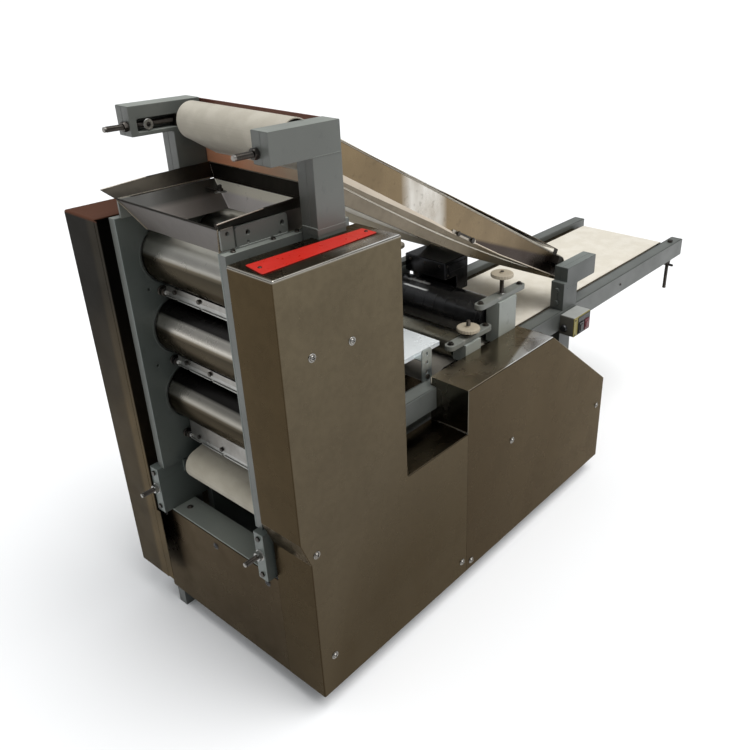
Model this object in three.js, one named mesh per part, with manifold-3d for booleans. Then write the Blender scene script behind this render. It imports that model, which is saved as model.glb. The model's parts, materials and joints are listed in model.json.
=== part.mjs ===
// Vertical dough sheeter: three pairs of sheeting rollers stacked in a head, a canvas infeed belt under
// them, a press and a cutting station on an outfeed belt, and a sloping belt that takes the trimmings back
// to the hopper. Millimetres, +Z up, +X towards the outfeed, the operator's side (near) at -Y.
// Lengths along X start at the lower front panel, and heights at the lower edge of the covers.
import * as THREE from "three";
import { mergeVertices } from "three/addons/utils/BufferGeometryUtils.js";
import Module from "manifold-3d";

const wasm = await Module();
wasm.setup();

// Driving dimensions of the whole machine.
const lift = 55;
const gap = 0.3;
const overrun = 1;
const sheet = 2;
const headInner = 167;
const plateThickness = 22;
const tubeWidth = 45;
const coverDepth = 118;
const coverLap = 18;
const platesOuter = headInner + plateThickness;
const tubeInner = platesOuter + gap;
const tubeOuter = platesOuter + tubeWidth;
const coverInner = tubeOuter - coverLap;
const coverOuter = coverInner + coverDepth;
const beltThickness = 3;
const drumPlay = 0.75;

// Side of the machine, as a factor on Y.
const near = -1;
const far = 1;

// Round pieces: number of flat faces that stand for a circle.
const rollerFacets = 36;
const shaftFacets = 20;
const smallFacets = 12;
const nutFacets = 6;
const arcSteps = 12;

// Head: three levels of roller pairs.
const roller = { radius: 68, nip: 2, frontX: 107, lowHeight: 573, pitch: 168, shaft: 20, endPlay: 2 };
const rollerSpacing = 2 * roller.radius + roller.nip;
const rollerRearX = roller.frontX + rollerSpacing;
const levels = ["lower", "middle", "upper"];
const recess = { depth: 5, play: 4 };
const bearingPlay = 0.5;
const headroom = 96;
const headTop = roller.lowHeight + (levels.length - 1) * roller.pitch + headroom;

// Gears on the far ends of the rollers, and the chain wheels on the near ends of the front ones.
const gear = { teeth: 28, width: 18, setOff: 5, shaftEnd: 2, addendumShare: 0.45, dedendumShare: 0.62 };
const toothShares = { root: 0.58, tip: 0.26 };
const chain = { wheelRadius: 30, wheelWidth: 8, thickness: 9, width: 14, setOff: 8 };
const chainMotor = { x: 325, height: 165 };
const gearInner = platesOuter + gear.setOff;
const chainInner = tubeOuter + chain.setOff;

// Rails.
const railDrop = 100;
const rail = { start: 330, end: 2003, bottom: roller.lowHeight - railDrop, height: 60, wall: 5 };
const railTop = rail.bottom + rail.height;

// Covers.
const coverDrop = 5;
const ledgeDrop = 98;
const chinDrops = { foot: 193, top: 127 };
const headCover = {
  rise: roller.lowHeight - chinDrops.foot,
  chinRise: roller.lowHeight - chinDrops.top,
  chinReach: 23,
  height: headTop - coverDrop,
  depth: 296,
  ledge: railTop - ledgeDrop,
  length: 520,
};
const rearCoverRise = 23;
const rearCoverFall = 265;
const rearCoverHeight = railTop + rearCoverRise;
const rearCover = {
  height: rearCoverHeight,
  flatEnd: 905,
  end: 1239,
  endHeight: rearCoverHeight - rearCoverFall,
};

// Belts and their rollers. The outfeed belt runs a little below the rails' tops, and the return belt goes
// from just over it to well above the hopper.
const infeedDrop = 183;
const infeed = {
  halfWidth: 144,
  frontX: 75,
  frontHeight: roller.lowHeight - infeedDrop,
  frontOuter: 38,
  rearX: 430,
  rearRise: 27,
  rearOuter: 30,
};
const infeedRearHeight = rail.bottom + infeed.rearRise;
const outfeed = { halfWidth: 166, depth: 13, frontX: 640, frontOuter: 32, endBack: 53, endOuter: 25 };
const outfeedEndX = rail.end - outfeed.endBack;
const beltTop = railTop - outfeed.depth;
const back = {
  halfWidth: 161.5,
  topX: 205,
  topRise: 166,
  topOuter: 39,
  lowX: 1210,
  lowClear: 85,
  lowOuter: 30,
  sag: 26,
};
const backTopHeight = headTop + back.topRise;
const backLowHeight = beltTop + back.lowClear + back.lowOuter;
const beltShaft = { radius: 10, play: 0.5 };

// Everything is placed from the tip of the tension screws to the end of the rails.
const tension = { reach: 60, radius: 6, nutRadius: 10, nutLength: 10 };
const middleX = (rail.end - tension.reach) / 2;

const machine = new THREE.Group();
machine.position.set(-middleX, 0, lift);

// Finishes.
const finish = {
  steel: { color: 0x9a9184, roughness: 0.32, metalness: 0.95 },
  roller: { color: 0xb4b1a8, roughness: 0.22, metalness: 1 },
  paint: { color: 0x7f8a85, roughness: 0.5, metalness: 0.1 },
  darkPaint: { color: 0x3c4642, roughness: 0.55, metalness: 0.1 },
  black: { color: 0x17181a, roughness: 0.35, metalness: 0.2 },
  canvas: { color: 0xd9d2c2, roughness: 0.95, metalness: 0 },
  beige: { color: 0xc4bba7, roughness: 0.55, metalness: 0 },
  castIron: { color: 0x4a4a4a, roughness: 0.6, metalness: 0.7 },
  bolt: { color: 0x4d4a46, roughness: 0.4, metalness: 0.9 },
  yellow: { color: 0xd8b820, roughness: 0.5, metalness: 0 },
  red: { color: 0x9b1c1c, roughness: 0.4, metalness: 0 },
};

// Solids from three.js shapes.
function solid(geometry) {
  const bare = geometry.clone();
  bare.deleteAttribute("normal");
  bare.deleteAttribute("uv");
  const merged = mergeVertices(bare, 1e-4);
  const triVerts = new Uint32Array(merged.index.array);
  const vertProperties = new Float32Array(merged.attributes.position.array);
  return new wasm.Manifold(new wasm.Mesh({ numProp: 3, vertProperties, triVerts }));
}

function block(x0, x1, y0, y1, z0, z1) {
  const geometry = new THREE.BoxGeometry(x1 - x0, y1 - y0, z1 - z0);
  geometry.translate((x0 + x1) / 2, (y0 + y1) / 2, (z0 + z1) / 2);
  return solid(geometry);
}

// A block given by its inner and outer distance from the middle plane, on one side of the machine.
function sideBlock(side, x0, x1, inner, outer, z0, z1) {
  const edges = [side * inner, side * outer].sort((a, b) => a - b);
  return block(x0, x1, edges[0], edges[1], z0, z1);
}

// A prism along Y from an outline of [x, height] points.
function prism(points, y0, y1, holes = []) {
  const shape = new THREE.Shape(points.map(([x, z]) => new THREE.Vector2(x, z)));
  holes.forEach((hole) => shape.holes.push(new THREE.Path(hole.map(([x, z]) => new THREE.Vector2(x, z)))));
  const geometry = new THREE.ExtrudeGeometry(shape, { depth: y1 - y0, bevelEnabled: false });
  geometry.rotateX(Math.PI / 2);
  geometry.translate(0, y1, 0);
  return solid(geometry);
}

function sidePrism(side, points, inner, outer, holes = []) {
  const edges = [side * inner, side * outer].sort((a, b) => a - b);
  return prism(points, edges[0], edges[1], holes);
}

function rodY(x, z, radius, y0, y1, facets = shaftFacets) {
  const geometry = new THREE.CylinderGeometry(radius, radius, Math.abs(y1 - y0), facets);
  geometry.translate(x, (y0 + y1) / 2, z);
  return solid(geometry);
}

function rodX(y, z, radius, x0, x1, facets = smallFacets) {
  const geometry = new THREE.CylinderGeometry(radius, radius, x1 - x0, facets);
  geometry.rotateZ(Math.PI / 2);
  geometry.translate((x0 + x1) / 2, y, z);
  return solid(geometry);
}

function rodZ(x, y, radius, z0, z1, facets = smallFacets) {
  const geometry = new THREE.CylinderGeometry(radius, radius, z1 - z0, facets);
  geometry.rotateX(Math.PI / 2);
  geometry.translate(x, y, (z0 + z1) / 2);
  return solid(geometry);
}

function join(...pieces) {
  return pieces.flat().reduce((whole, piece) => whole.add(piece));
}

function cut(whole, ...tools) {
  return tools.flat().reduce((rest, tool) => rest.subtract(tool), whole);
}

function add(name, shape, look) {
  const made = shape.getMesh();
  const count = made.numProp;
  const places = new Float32Array(made.numVert * 3);
  for (let i = 0; i < made.numVert; i++) {
    places.set(made.vertProperties.subarray(i * count, i * count + 3), i * 3);
  }
  const geometry = new THREE.BufferGeometry();
  geometry.setAttribute("position", new THREE.BufferAttribute(places, 3));
  geometry.setIndex(new THREE.BufferAttribute(new Uint32Array(made.triVerts), 1));
  geometry.computeVertexNormals();
  const mesh = new THREE.Mesh(geometry, new THREE.MeshStandardMaterial(finish[look]));
  mesh.name = name;
  machine.add(mesh);
}

// Outline of a band pulled round circles, which are given clockwise as seen from the near side.
function bandOutline(circles, inset = 0, sag = 0) {
  const points = [];
  circles.forEach((circle, i) => {
    const before = circles[(i + circles.length - 1) % circles.length];
    const after = circles[(i + 1) % circles.length];
    const start = tangentAngle(before, circle);
    let end = tangentAngle(circle, after);
    while (end > start) end -= 2 * Math.PI;
    const radius = circle.outer - inset;
    for (let k = 0; k <= arcSteps; k++) {
      const angle = start + ((end - start) * k) / arcSteps;
      points.push([circle.x + radius * Math.cos(angle), circle.z + radius * Math.sin(angle)]);
    }
    if (sag && i === circles.length - 1) {
      const from = points[points.length - 1];
      const to = points[0];
      for (let k = 1; k < arcSteps; k++) {
        const share = k / arcSteps;
        const drop = 4 * sag * share * (1 - share);
        points.push([from[0] + (to[0] - from[0]) * share, from[1] + (to[1] - from[1]) * share - drop]);
      }
    }
  });
  return points;
}

// Angle at which the outer tangent from one circle to the next leaves, on the left of the way there.
function tangentAngle(from, to) {
  const dx = to.x - from.x;
  const dz = to.z - from.z;
  const length = Math.hypot(dx, dz);
  const turn = Math.acos((from.outer - to.outer) / length);
  return Math.atan2(dz, dx) + turn;
}

function belt(circles, halfWidth, thickness, sag = 0) {
  const outer = bandOutline(circles, 0, sag);
  const inner = bandOutline(circles, thickness, sag).reverse();
  return prism(outer, -halfWidth, halfWidth, [inner]);
}

// Base: bottom rails, cross tubes, posts, feet and the motor plate, welded in one.
const base = {
  bottom: 15,
  tube: 45,
  farLegX: 4,
  nearLegX: 64,
  legWidth: 30,
  rearLegX: 1112,
  rearLegWidth: 64,
  footSize: 60,
  footThickness: 8,
  frontPostX: 50,
  postXs: [200, 345, 720],
  crossX: [2.6, 225, 470, 1120],
  motorPlate: 6,
};
const baseTop = base.bottom + base.tube;
const baseEnd = base.rearLegX + base.rearLegWidth;
const postTop = rail.bottom - gap;

function baseFrame() {
  const pieces = [];
  const frontPostEnd = base.frontPostX + base.tube;
  const rearLegFoot = base.footThickness - overrun - lift;
  for (const side of [near, far]) {
    pieces.push(sideBlock(side, base.farLegX, baseEnd, tubeInner, tubeOuter, base.bottom, baseTop));
    for (const x of base.postXs) {
      pieces.push(sideBlock(side, x, x + base.tube, tubeInner, tubeOuter, base.bottom, postTop));
    }
    pieces.push(
      sideBlock(side, base.frontPostX, frontPostEnd, tubeInner, tubeOuter, base.bottom, plate.step),
      sideBlock(side, base.rearLegX, baseEnd, tubeInner, tubeOuter, rearLegFoot, postTop),
    );
    const legX = side === near ? base.nearLegX : base.farLegX;
    const legInner = tubeOuter - base.legWidth;
    const legTop = base.bottom + overrun;
    pieces.push(sideBlock(side, legX, legX + base.legWidth, legInner, tubeOuter, -lift, legTop));
    const footMiddle = (base.rearLegX + baseEnd) / 2;
    const footInner = (tubeInner + tubeOuter - base.footSize) / 2;
    pieces.push(
      sideBlock(
        side,
        footMiddle - base.footSize / 2,
        footMiddle + base.footSize / 2,
        footInner,
        footInner + base.footSize,
        -lift,
        -lift + base.footThickness,
      ),
    );
  }
  for (const x of base.crossX) {
    pieces.push(block(x, x + base.tube, -tubeInner - overrun, tubeInner + overrun, base.bottom, baseTop));
  }
  const plateEnd = base.crossX[2] + base.tube;
  const plateHalf = tubeInner + overrun;
  pieces.push(
    block(base.crossX[1], plateEnd, -plateHalf, plateHalf, baseTop - overrun, baseTop + base.motorPlate),
  );
  return join(pieces);
}

// Head plates: one each side, with bores and recesses for the six rollers and a bracket for the hopper.
const plateStepRise = 12;
const plate = { front: -4, rear: 300, step: infeed.frontHeight + plateStepRise, lowFront: 110 };
const plateFoot = baseTop + base.motorPlate + gap;
const bracket = { front: 38, rear: 158, rise: 40, thickness: 6 };
const waistHalf = 163;
const waistHeight = headTop + bracket.rise;

function headPlate(side) {
  const bracketInner = waistHalf + 2 * gap;
  const bracketOuter = bracketInner + bracket.thickness;
  const bracketTop = waistHeight - gap;
  const outline = [
    [plate.lowFront, plateFoot],
    [plate.rear, plateFoot],
    [plate.rear, headTop],
    [plate.front, headTop],
    [plate.front, plate.step + gap],
    [plate.lowFront, plate.step + gap],
  ];
  const pieces = [
    sidePrism(side, outline, headInner, platesOuter),
    sideBlock(side, bracket.front, bracket.rear, bracketInner, bracketOuter, headTop - overrun, bracketTop),
  ];
  const tools = [];
  levels.forEach((level, i) => {
    const z = roller.lowHeight + i * roller.pitch;
    for (const x of [roller.frontX, rollerRearX]) {
      const hole = roller.shaft + bearingPlay;
      tools.push(rodY(x, z, hole, side * (headInner - overrun), side * (platesOuter + overrun)));
      const ring = roller.radius + recess.play;
      const [start, end] = [side * (headInner - overrun), side * (headInner + recess.depth)];
      tools.push(rodY(x, z, ring, start, end, rollerFacets));
    }
  });
  return cut(join(pieces), tools);
}

// Cheeks in front of the plates' feet, with the bearings and tension screws of the infeed belt.
const cheekDrop = 114;
const cheek = {
  front: -18,
  lap: 14,
  stand: 16,
  bottom: infeed.frontHeight - cheekDrop,
  screwDrop: 45,
};
const cheekInner = platesOuter - cheek.lap;
const cheekOuter = platesOuter + cheek.stand;
const cheekRear = plate.lowFront - gap;

function cheekPlate(side) {
  const middle = (side * (cheekInner + cheekOuter)) / 2;
  const foot = cheek.bottom + gap;
  const body = join(
    sideBlock(side, cheek.front, cheekRear, cheekInner, platesOuter, foot, plate.step),
    sideBlock(side, cheek.front, base.frontPostX - gap, cheekInner, cheekOuter, foot, plate.step),
  );
  const hole = rodY(
    infeed.frontX,
    infeed.frontHeight,
    beltShaft.radius + beltShaft.play,
    side * (cheekInner - overrun),
    side * (platesOuter - sheet),
  );
  const screwHeight = infeed.frontHeight - cheek.screwDrop;
  const nutFront = cheek.front - tension.nutLength;
  const screw = rodX(middle, screwHeight, tension.radius, -tension.reach, cheek.front + overrun);
  const nut = rodX(middle, screwHeight, tension.nutRadius, nutFront, cheek.front + overrun, nutFacets);
  return join(cut(body, hole), screw, nut);
}

// Tray under the infeed roller and the panel below it.
const tray = { depth: 67, thickness: 4, flange: 36 };

function frontTray() {
  const half = platesOuter;
  const flangeFoot = cheek.bottom - tray.flange;
  const flangeTop = cheek.bottom - overrun;
  return join(
    block(sheet + gap, tray.depth, -half, half, cheek.bottom - tray.thickness, cheek.bottom),
    block(sheet + gap, sheet + gap + tray.thickness, -half, half, flangeFoot, flangeTop),
    block(tray.depth - tray.thickness, tray.depth, -half, half, flangeFoot, flangeTop),
  );
}

function frontPanel() {
  const half = coverInner - gap;
  return block(0, sheet, -half, half, 0, cheek.bottom - gap);
}

// Covers: folded sheet shells, open towards the machine and below.
function shell(side, outline, inside) {
  const outer = sidePrism(side, outline, coverInner, coverOuter);
  return cut(outer, sidePrism(side, inside, coverInner - overrun, coverOuter - sheet));
}

function railSlot(side) {
  const room = 2 * overrun;
  const [bottom, top] = [rail.bottom - room, railTop + room];
  return sideBlock(side, rail.start, rearCover.end, coverInner - overrun, tubeOuter + room, bottom, top);
}

function headCoverShell(side) {
  const c = headCover;
  const outline = [
    [0, 0],
    [c.length - gap, 0],
    [c.length - gap, c.ledge],
    [c.depth, c.ledge],
    [c.depth, c.height],
    [-c.chinReach, c.height],
    [-c.chinReach, c.chinRise],
    [0, c.rise],
  ];
  const inside = [
    [sheet, -overrun],
    [c.length + overrun, -overrun],
    [c.length + overrun, c.ledge - sheet],
    [c.depth - sheet, c.ledge - sheet],
    [c.depth - sheet, c.height - sheet],
    [-c.chinReach + sheet, c.height - sheet],
    [-c.chinReach + sheet, c.chinRise],
    [sheet, c.rise],
  ];
  const room = 2 * overrun;
  const armSlot = sideBlock(
    side,
    arm.postFront - room,
    arm.rear + room,
    coverInner - overrun,
    tubeOuter + room,
    c.height - 2 * sheet,
    c.height + overrun,
  );
  const postSlot = sideBlock(
    side,
    base.postXs[1] - room,
    base.postXs[1] + base.tube + room,
    coverInner - overrun,
    tubeOuter + room,
    c.ledge - 2 * sheet,
    c.ledge + overrun,
  );
  return cut(shell(side, outline, inside), postSlot, armSlot);
}

function rearCoverShell(side) {
  const c = rearCover;
  const start = headCover.length;
  const slope = (c.height - c.endHeight) / (c.end - c.flatEnd);
  const outline = [
    [start, 0],
    [c.end, 0],
    [c.end, c.endHeight],
    [c.flatEnd, c.height],
    [start, c.height],
  ];
  const inside = [
    [start - overrun, -overrun],
    [c.end - sheet, -overrun],
    [c.end - sheet, c.endHeight - sheet + sheet * slope],
    [c.flatEnd, c.height - sheet],
    [start + sheet, c.height - sheet],
    [start + sheet, headCover.ledge],
    [start - overrun, headCover.ledge],
  ];
  const room = 2 * overrun;
  const legSlot = sideBlock(
    side,
    base.rearLegX - room,
    baseEnd + room,
    coverInner - overrun,
    tubeOuter + room,
    c.endHeight,
    c.height + overrun,
  );
  return cut(shell(side, outline, inside), railSlot(side), legSlot);
}

// Hopper: a funnel with a flared collar, as rings of four corners from outside bottom to inside bottom.
const mouthDrop = 20;
const rimRise = 28;
const hopper = {
  mouth: { x0: 36, x1: 235, half: 117, z: headTop - mouthDrop },
  waist: { x0: 7, x1: 240, half: waistHalf, z: waistHeight },
  rim: { x0: -10, x1: 250, half: 186, z: waistHeight + rimRise, frontDrop: 10 },
};
const hopperEar = { front: 8, lap: 3, thickness: 6, toBracket: 1 };

function hopperShell() {
  const { mouth, waist, rim } = hopper;
  const inner = (ring, z) => ({
    ...ring,
    x0: ring.x0 + sheet,
    x1: ring.x1 - sheet,
    half: ring.half - sheet,
    z,
  });
  const rings = [mouth, waist, rim, inner(rim, rim.z), inner(waist, waist.z + sheet), inner(mouth, mouth.z)];
  const places = [];
  rings.forEach((r) => {
    const front = r.z - (r.frontDrop ?? 0);
    places.push(r.x0, -r.half, front, r.x1, -r.half, r.z, r.x1, r.half, r.z, r.x0, r.half, front);
  });
  const index = [];
  rings.forEach((ring, i) => {
    const a = i * 4;
    const b = ((i + 1) % rings.length) * 4;
    for (let k = 0; k < 4; k++) {
      const next = (k + 1) % 4;
      index.push(a + k, a + next, b + next, a + k, b + next, b + k);
    }
  });
  const geometry = new THREE.BufferGeometry();
  geometry.setAttribute("position", new THREE.BufferAttribute(new Float32Array(places), 3));
  geometry.setIndex(index);
  const openHalf = waist.half - sheet;
  const openFoot = waist.z + overrun;
  const frontGap = block(rim.x0 - sheet, waist.x0 + 2 * sheet, -openHalf, openHalf, openFoot, rim.z + sheet);
  const earInner = waist.half - hopperEar.lap;
  const earOuter = earInner + hopperEar.thickness;
  const earRear = bracket.front - hopperEar.toBracket;
  const earTop = waist.z - overrun;
  const ears = [near, far].map((side) =>
    sideBlock(side, hopperEar.front, earRear, earInner, earOuter, headTop + gap, earTop),
  );
  return join(cut(solid(geometry), frontGap), ...ears);
}

// Sheeting rollers, each with its gear, and a chain wheel on the front ones.
function gearOutline(phase) {
  const pitchRadius = rollerSpacing / 2;
  const step = (2 * Math.PI) / gear.teeth;
  const toothHeight = pitchRadius * step;
  const rootRadius = pitchRadius - (gear.dedendumShare * toothHeight) / 2;
  const tipRadius = pitchRadius + (gear.addendumShare * toothHeight) / 2;
  const points = [];
  for (let i = 0; i < gear.teeth; i++) {
    const middle = phase + i * step;
    for (const [share, radius] of [
      [-toothShares.root, rootRadius],
      [-toothShares.tip, tipRadius],
      [toothShares.tip, tipRadius],
      [toothShares.root, rootRadius],
    ]) {
      const angle = middle + (share * step) / 2;
      points.push([radius * Math.cos(angle), radius * Math.sin(angle)]);
    }
  }
  return points;
}

function sheetingRoller(x, z, isFront) {
  const bodyHalf = headInner + recess.depth - roller.endPlay;
  const gearOuter = gearInner + gear.width;
  const nearEnd = isFront ? chainInner + chain.width : platesOuter + gear.setOff;
  const farEnd = gearOuter + gear.shaftEnd;
  const halfStep = Math.PI / gear.teeth;
  const outline = gearOutline(isFront ? 0 : Math.PI + halfStep).map(([u, v]) => [x + u, z + v]);
  const pieces = [
    rodY(x, z, roller.radius, -bodyHalf, bodyHalf, rollerFacets),
    rodY(x, z, roller.shaft, -nearEnd, farEnd),
    prism(outline, gearInner, gearOuter),
  ];
  if (isFront) {
    const wheelMiddle = chainInner + chain.width / 2;
    const half = chain.wheelWidth / 2;
    pieces.push(rodY(x, z, chain.wheelRadius, -wheelMiddle - half, -wheelMiddle + half, rollerFacets));
  }
  return join(pieces);
}

// Scrapers: a bar across the front of each level, with a blade to its roller and a pin at each end.
const scraper = {
  front: 68,
  thickness: 6,
  height: 18,
  drops: [96, 70, 70],
  halfLength: 150,
  bladeThickness: 3,
  bladeHalf: 143,
  pin: 6,
};

function scraperBar(z, drop) {
  const top = z - drop;
  const bottom = top - scraper.height;
  const middle = (top + bottom) / 2;
  const rear = scraper.front + scraper.thickness;
  const bladeRear = scraper.front + scraper.bladeThickness;
  const tip = z - Math.sqrt(roller.radius ** 2 - (roller.frontX - bladeRear) ** 2) - gap;
  const pinEnd = headInner - gap;
  return join(
    block(scraper.front, rear, -scraper.halfLength, scraper.halfLength, bottom, top),
    block(scraper.front, bladeRear, -scraper.bladeHalf, scraper.bladeHalf, top - overrun, tip),
    rodY(scraper.front + scraper.thickness / 2, middle, scraper.pin, -pinEnd, pinEnd, smallFacets),
  );
}

// A belt roller: a plain drum with a shaft that ends inside its bearings.
function beltRoller(x, z, outer, halfWidth, shaftEnd) {
  const radius = outer - beltThickness - drumPlay;
  return join(
    rodY(x, z, radius, -halfWidth, halfWidth, rollerFacets),
    rodY(x, z, beltShaft.radius, -shaftEnd, shaftEnd),
  );
}

// Top arms over the head, with a slot for the bearing of the return belt's upper roller.
const arm = { front: 79, postFront: 175, rear: 248, sink: 14, below: 21, above: 39, foot: 12, footReach: 14 };
const armBottom = headCover.height - arm.sink;
const beamBottom = backTopHeight - arm.below;
const armTop = backTopHeight + arm.above;
const armSlot = { front: 95, rear: 232, height: 26, depth: 24 };
const bearingBlock = { length: 44, play: 0.5 };

function topArm(side) {
  const outline = [
    [arm.postFront, armBottom],
    [arm.rear, armBottom],
    [arm.rear, armTop],
    [arm.front, armTop],
    [arm.front, beamBottom],
    [arm.postFront, beamBottom],
  ];
  const foot = sideBlock(
    side,
    arm.postFront - arm.footReach,
    arm.rear + arm.footReach,
    headInner,
    tubeInner + overrun,
    headTop + gap,
    headTop + gap + arm.foot,
  );
  const body = join(sidePrism(side, outline, tubeInner, tubeOuter), foot);
  const half = armSlot.height / 2;
  const slot = sideBlock(
    side,
    armSlot.front,
    armSlot.rear,
    tubeInner - overrun,
    tubeInner + armSlot.depth,
    backTopHeight - half,
    backTopHeight + half,
  );
  const bearing = cut(
    sideBlock(
      side,
      back.topX - bearingBlock.length / 2,
      back.topX + bearingBlock.length / 2,
      tubeInner,
      tubeInner + armSlot.depth + overrun,
      backTopHeight - half - overrun,
      backTopHeight + half + overrun,
    ),
    rodY(
      back.topX,
      backTopHeight,
      beltShaft.radius + beltShaft.play,
      side * (tubeInner - overrun),
      side * (tubeInner + armSlot.depth),
    ),
  );
  const screwHole = rodX(
    side * (tubeInner + armSlot.depth / 2),
    backTopHeight,
    tension.radius + bearingBlock.play,
    arm.front - overrun,
    armSlot.front + overrun,
  );
  return join(cut(body, slot, screwHole), bearing);
}

// Tension screw of the return belt: a threaded rod with a nut, from the bearing out through the arm's end.
const topScrewReach = 51;

function topScrew(side) {
  const y = side * (tubeInner + armSlot.depth / 2);
  const tip = arm.front - topScrewReach;
  const inner = back.topX - bearingBlock.length / 2 - gap;
  const nutRear = arm.front - gap;
  return join(
    rodX(y, backTopHeight, tension.radius, tip, inner),
    rodX(y, backTopHeight, tension.nutRadius, nutRear - tension.nutLength, nutRear, nutFacets),
  );
}

// Arms on the outfeed rails that carry the lower end of the return belt.
const rearArm = {
  postFront: 1136,
  postRear: 1200,
  reach: 104,
  below: 33,
  above: 29,
  plateReach: 16,
  plateDrop: 15,
};

function outfeedArm(side) {
  const foot = railTop + gap;
  const beam = backLowHeight - rearArm.below;
  const top = backLowHeight + rearArm.above;
  const footTop = backLowHeight - rearArm.plateDrop;
  const outline = [
    [rearArm.postFront - rearArm.plateReach, foot],
    [rearArm.postRear, foot],
    [rearArm.postRear, beam],
    [rearArm.postRear + rearArm.reach, beam],
    [rearArm.postRear + rearArm.reach, top],
    [rearArm.postFront, top],
    [rearArm.postFront, footTop],
    [rearArm.postFront - rearArm.plateReach, footTop],
  ];
  const hole = rodY(
    back.lowX,
    backLowHeight,
    beltShaft.radius + beltShaft.play,
    side * (tubeInner - overrun),
    side * (tubeInner + armSlot.depth),
  );
  return cut(sidePrism(side, outline, tubeInner, tubeOuter), hole);
}

// Return tray: a plate with a window behind the top arms, a bed under the belt's upper run, a side panel
// along each edge of the belt, and brackets to the lower arms. Heights of the plate count from the axis of
// the belt's upper roller, and the panels' depths from their upper edges.
const trayBed = { start: 50, endBack: 45, thickness: 2, below: 1, lowTab: 22 };
const rearPlate = {
  pad: 2,
  padInner: 200,
  padOuter: 222,
  thickness: 2,
  top: 35,
  windowTop: 22.5,
  windowBottom: 83,
};
const sidePanel = {
  width: 2,
  rise: 1,
  startDepth: 130,
  bendX: 565,
  bendDepth: 131,
  footEnd: 1184,
  endDepth: 76,
  end: 1204,
};

function returnTray() {
  const dx = back.lowX - back.topX;
  const dz = backLowHeight - backTopHeight;
  const length = Math.hypot(dx, dz);
  const taper = Math.asin((back.topOuter - back.lowOuter) / length);
  const angle = Math.atan2(dz, dx) - taper;
  const cos = Math.cos(angle);
  const sin = Math.sin(angle);
  const at = (s, n) => [back.topX + s * cos - n * sin, backTopHeight + s * sin + n * cos];
  const strip = (s0, s1, n0, n1) => [at(s0, n0), at(s1, n0), at(s1, n1), at(s0, n1)];
  const bedTop = back.topOuter - beltThickness - trayBed.below;
  const bedEnd = length - trayBed.endBack;
  const tabFoot = bedTop - 2 * trayBed.lowTab;
  const panelIn = back.halfWidth + overrun;
  const panelOut = panelIn + sidePanel.width;
  const panelTop = back.topOuter + sidePanel.rise;
  const topEdge = (x) => at((x - at(0, panelTop)[0]) / cos, panelTop)[1];
  const plateFront = arm.rear + gap + rearPlate.pad;
  const plateRear = plateFront + rearPlate.thickness;
  const panelStart = plateRear - overrun;
  const window = block(
    plateFront - overrun,
    plateRear + overrun,
    -panelIn,
    panelIn,
    backTopHeight - rearPlate.windowBottom,
    backTopHeight + rearPlate.windowTop,
  );
  const plateTop = backTopHeight + rearPlate.top;
  const pieces = [
    cut(block(plateFront, plateRear, -tubeOuter, tubeOuter, hopper.waist.z, plateTop), window),
    prism(strip(trayBed.start, bedEnd, bedTop - trayBed.thickness, bedTop), -panelOut, panelOut),
  ];
  const panel = [
    [panelStart, topEdge(panelStart) - sidePanel.startDepth],
    [sidePanel.bendX, topEdge(sidePanel.bendX) - sidePanel.bendDepth],
    [sidePanel.footEnd, topEdge(sidePanel.footEnd) - sidePanel.endDepth],
    [sidePanel.end, topEdge(sidePanel.end)],
    [panelStart, topEdge(panelStart)],
  ];
  const padMiddle = backTopHeight - rearPlate.windowBottom / 2;
  const padHalf = (rearPlate.padOuter - rearPlate.padInner) / 2;
  for (const side of [near, far]) {
    pieces.push(
      sidePrism(side, panel, panelIn, panelOut),
      sideBlock(
        side,
        arm.rear + gap,
        plateFront + overrun,
        rearPlate.padInner,
        rearPlate.padOuter,
        padMiddle - padHalf,
        padMiddle + padHalf,
      ),
      sidePrism(side, strip(bedEnd - trayBed.lowTab, bedEnd, tabFoot, bedTop - overrun), panelIn, panelOut),
      sidePrism(
        side,
        strip(bedEnd - trayBed.lowTab, bedEnd, tabFoot, tabFoot + trayBed.lowTab),
        panelIn,
        tubeInner - gap,
      ),
    );
  }
  return join(pieces);
}

// Outfeed rails: channels open below, with the bearings of the belt rollers in their inner wall.
function outfeedRail(side) {
  const body = sideBlock(side, rail.start, rail.end, tubeInner, tubeOuter, rail.bottom, railTop);
  const inside = sideBlock(
    side,
    rail.start + rail.wall,
    rail.end - rail.wall,
    tubeInner + rail.wall,
    tubeOuter - rail.wall,
    rail.bottom - overrun,
    railTop - rail.wall,
  );
  const holeRadius = beltShaft.radius + beltShaft.play;
  const [holeStart, holeEnd] = [tubeInner - overrun, tubeInner + rail.wall + overrun];
  const hole = (x, z) => rodY(x, z, holeRadius, side * holeStart, side * holeEnd);
  const tools = [
    inside,
    hole(infeed.rearX, infeedRearHeight),
    hole(outfeed.frontX, beltTop - outfeed.frontOuter),
    hole(outfeedEndX, beltTop - outfeed.endOuter),
  ];
  if (side === near) {
    const y = near * clampHandle.out;
    const bush = rodZ(clampHandleX, y, clampHandle.boss, rail.bottom - overrun, railTop - overrun);
    const boreRadius = clampHandle.rod + beltShaft.play;
    const boreTop = rail.bottom + clampHandle.boreDepth;
    const bore = rodZ(clampHandleX, y, boreRadius, rail.bottom - 2 * overrun, boreTop);
    return cut(join(cut(body, tools), bush), bore);
  }
  return cut(body, tools);
}

// Bed under the outfeed belt.
const bed = { startBack: 50, endBack: 45, thickness: 4 };

function outfeedBed() {
  const top = beltTop - beltThickness - gap;
  const [start, end] = [outfeed.frontX + bed.startBack, outfeedEndX - bed.endBack];
  const half = tubeInner - gap;
  return block(start, end, -half, half, top - bed.thickness, top);
}

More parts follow.
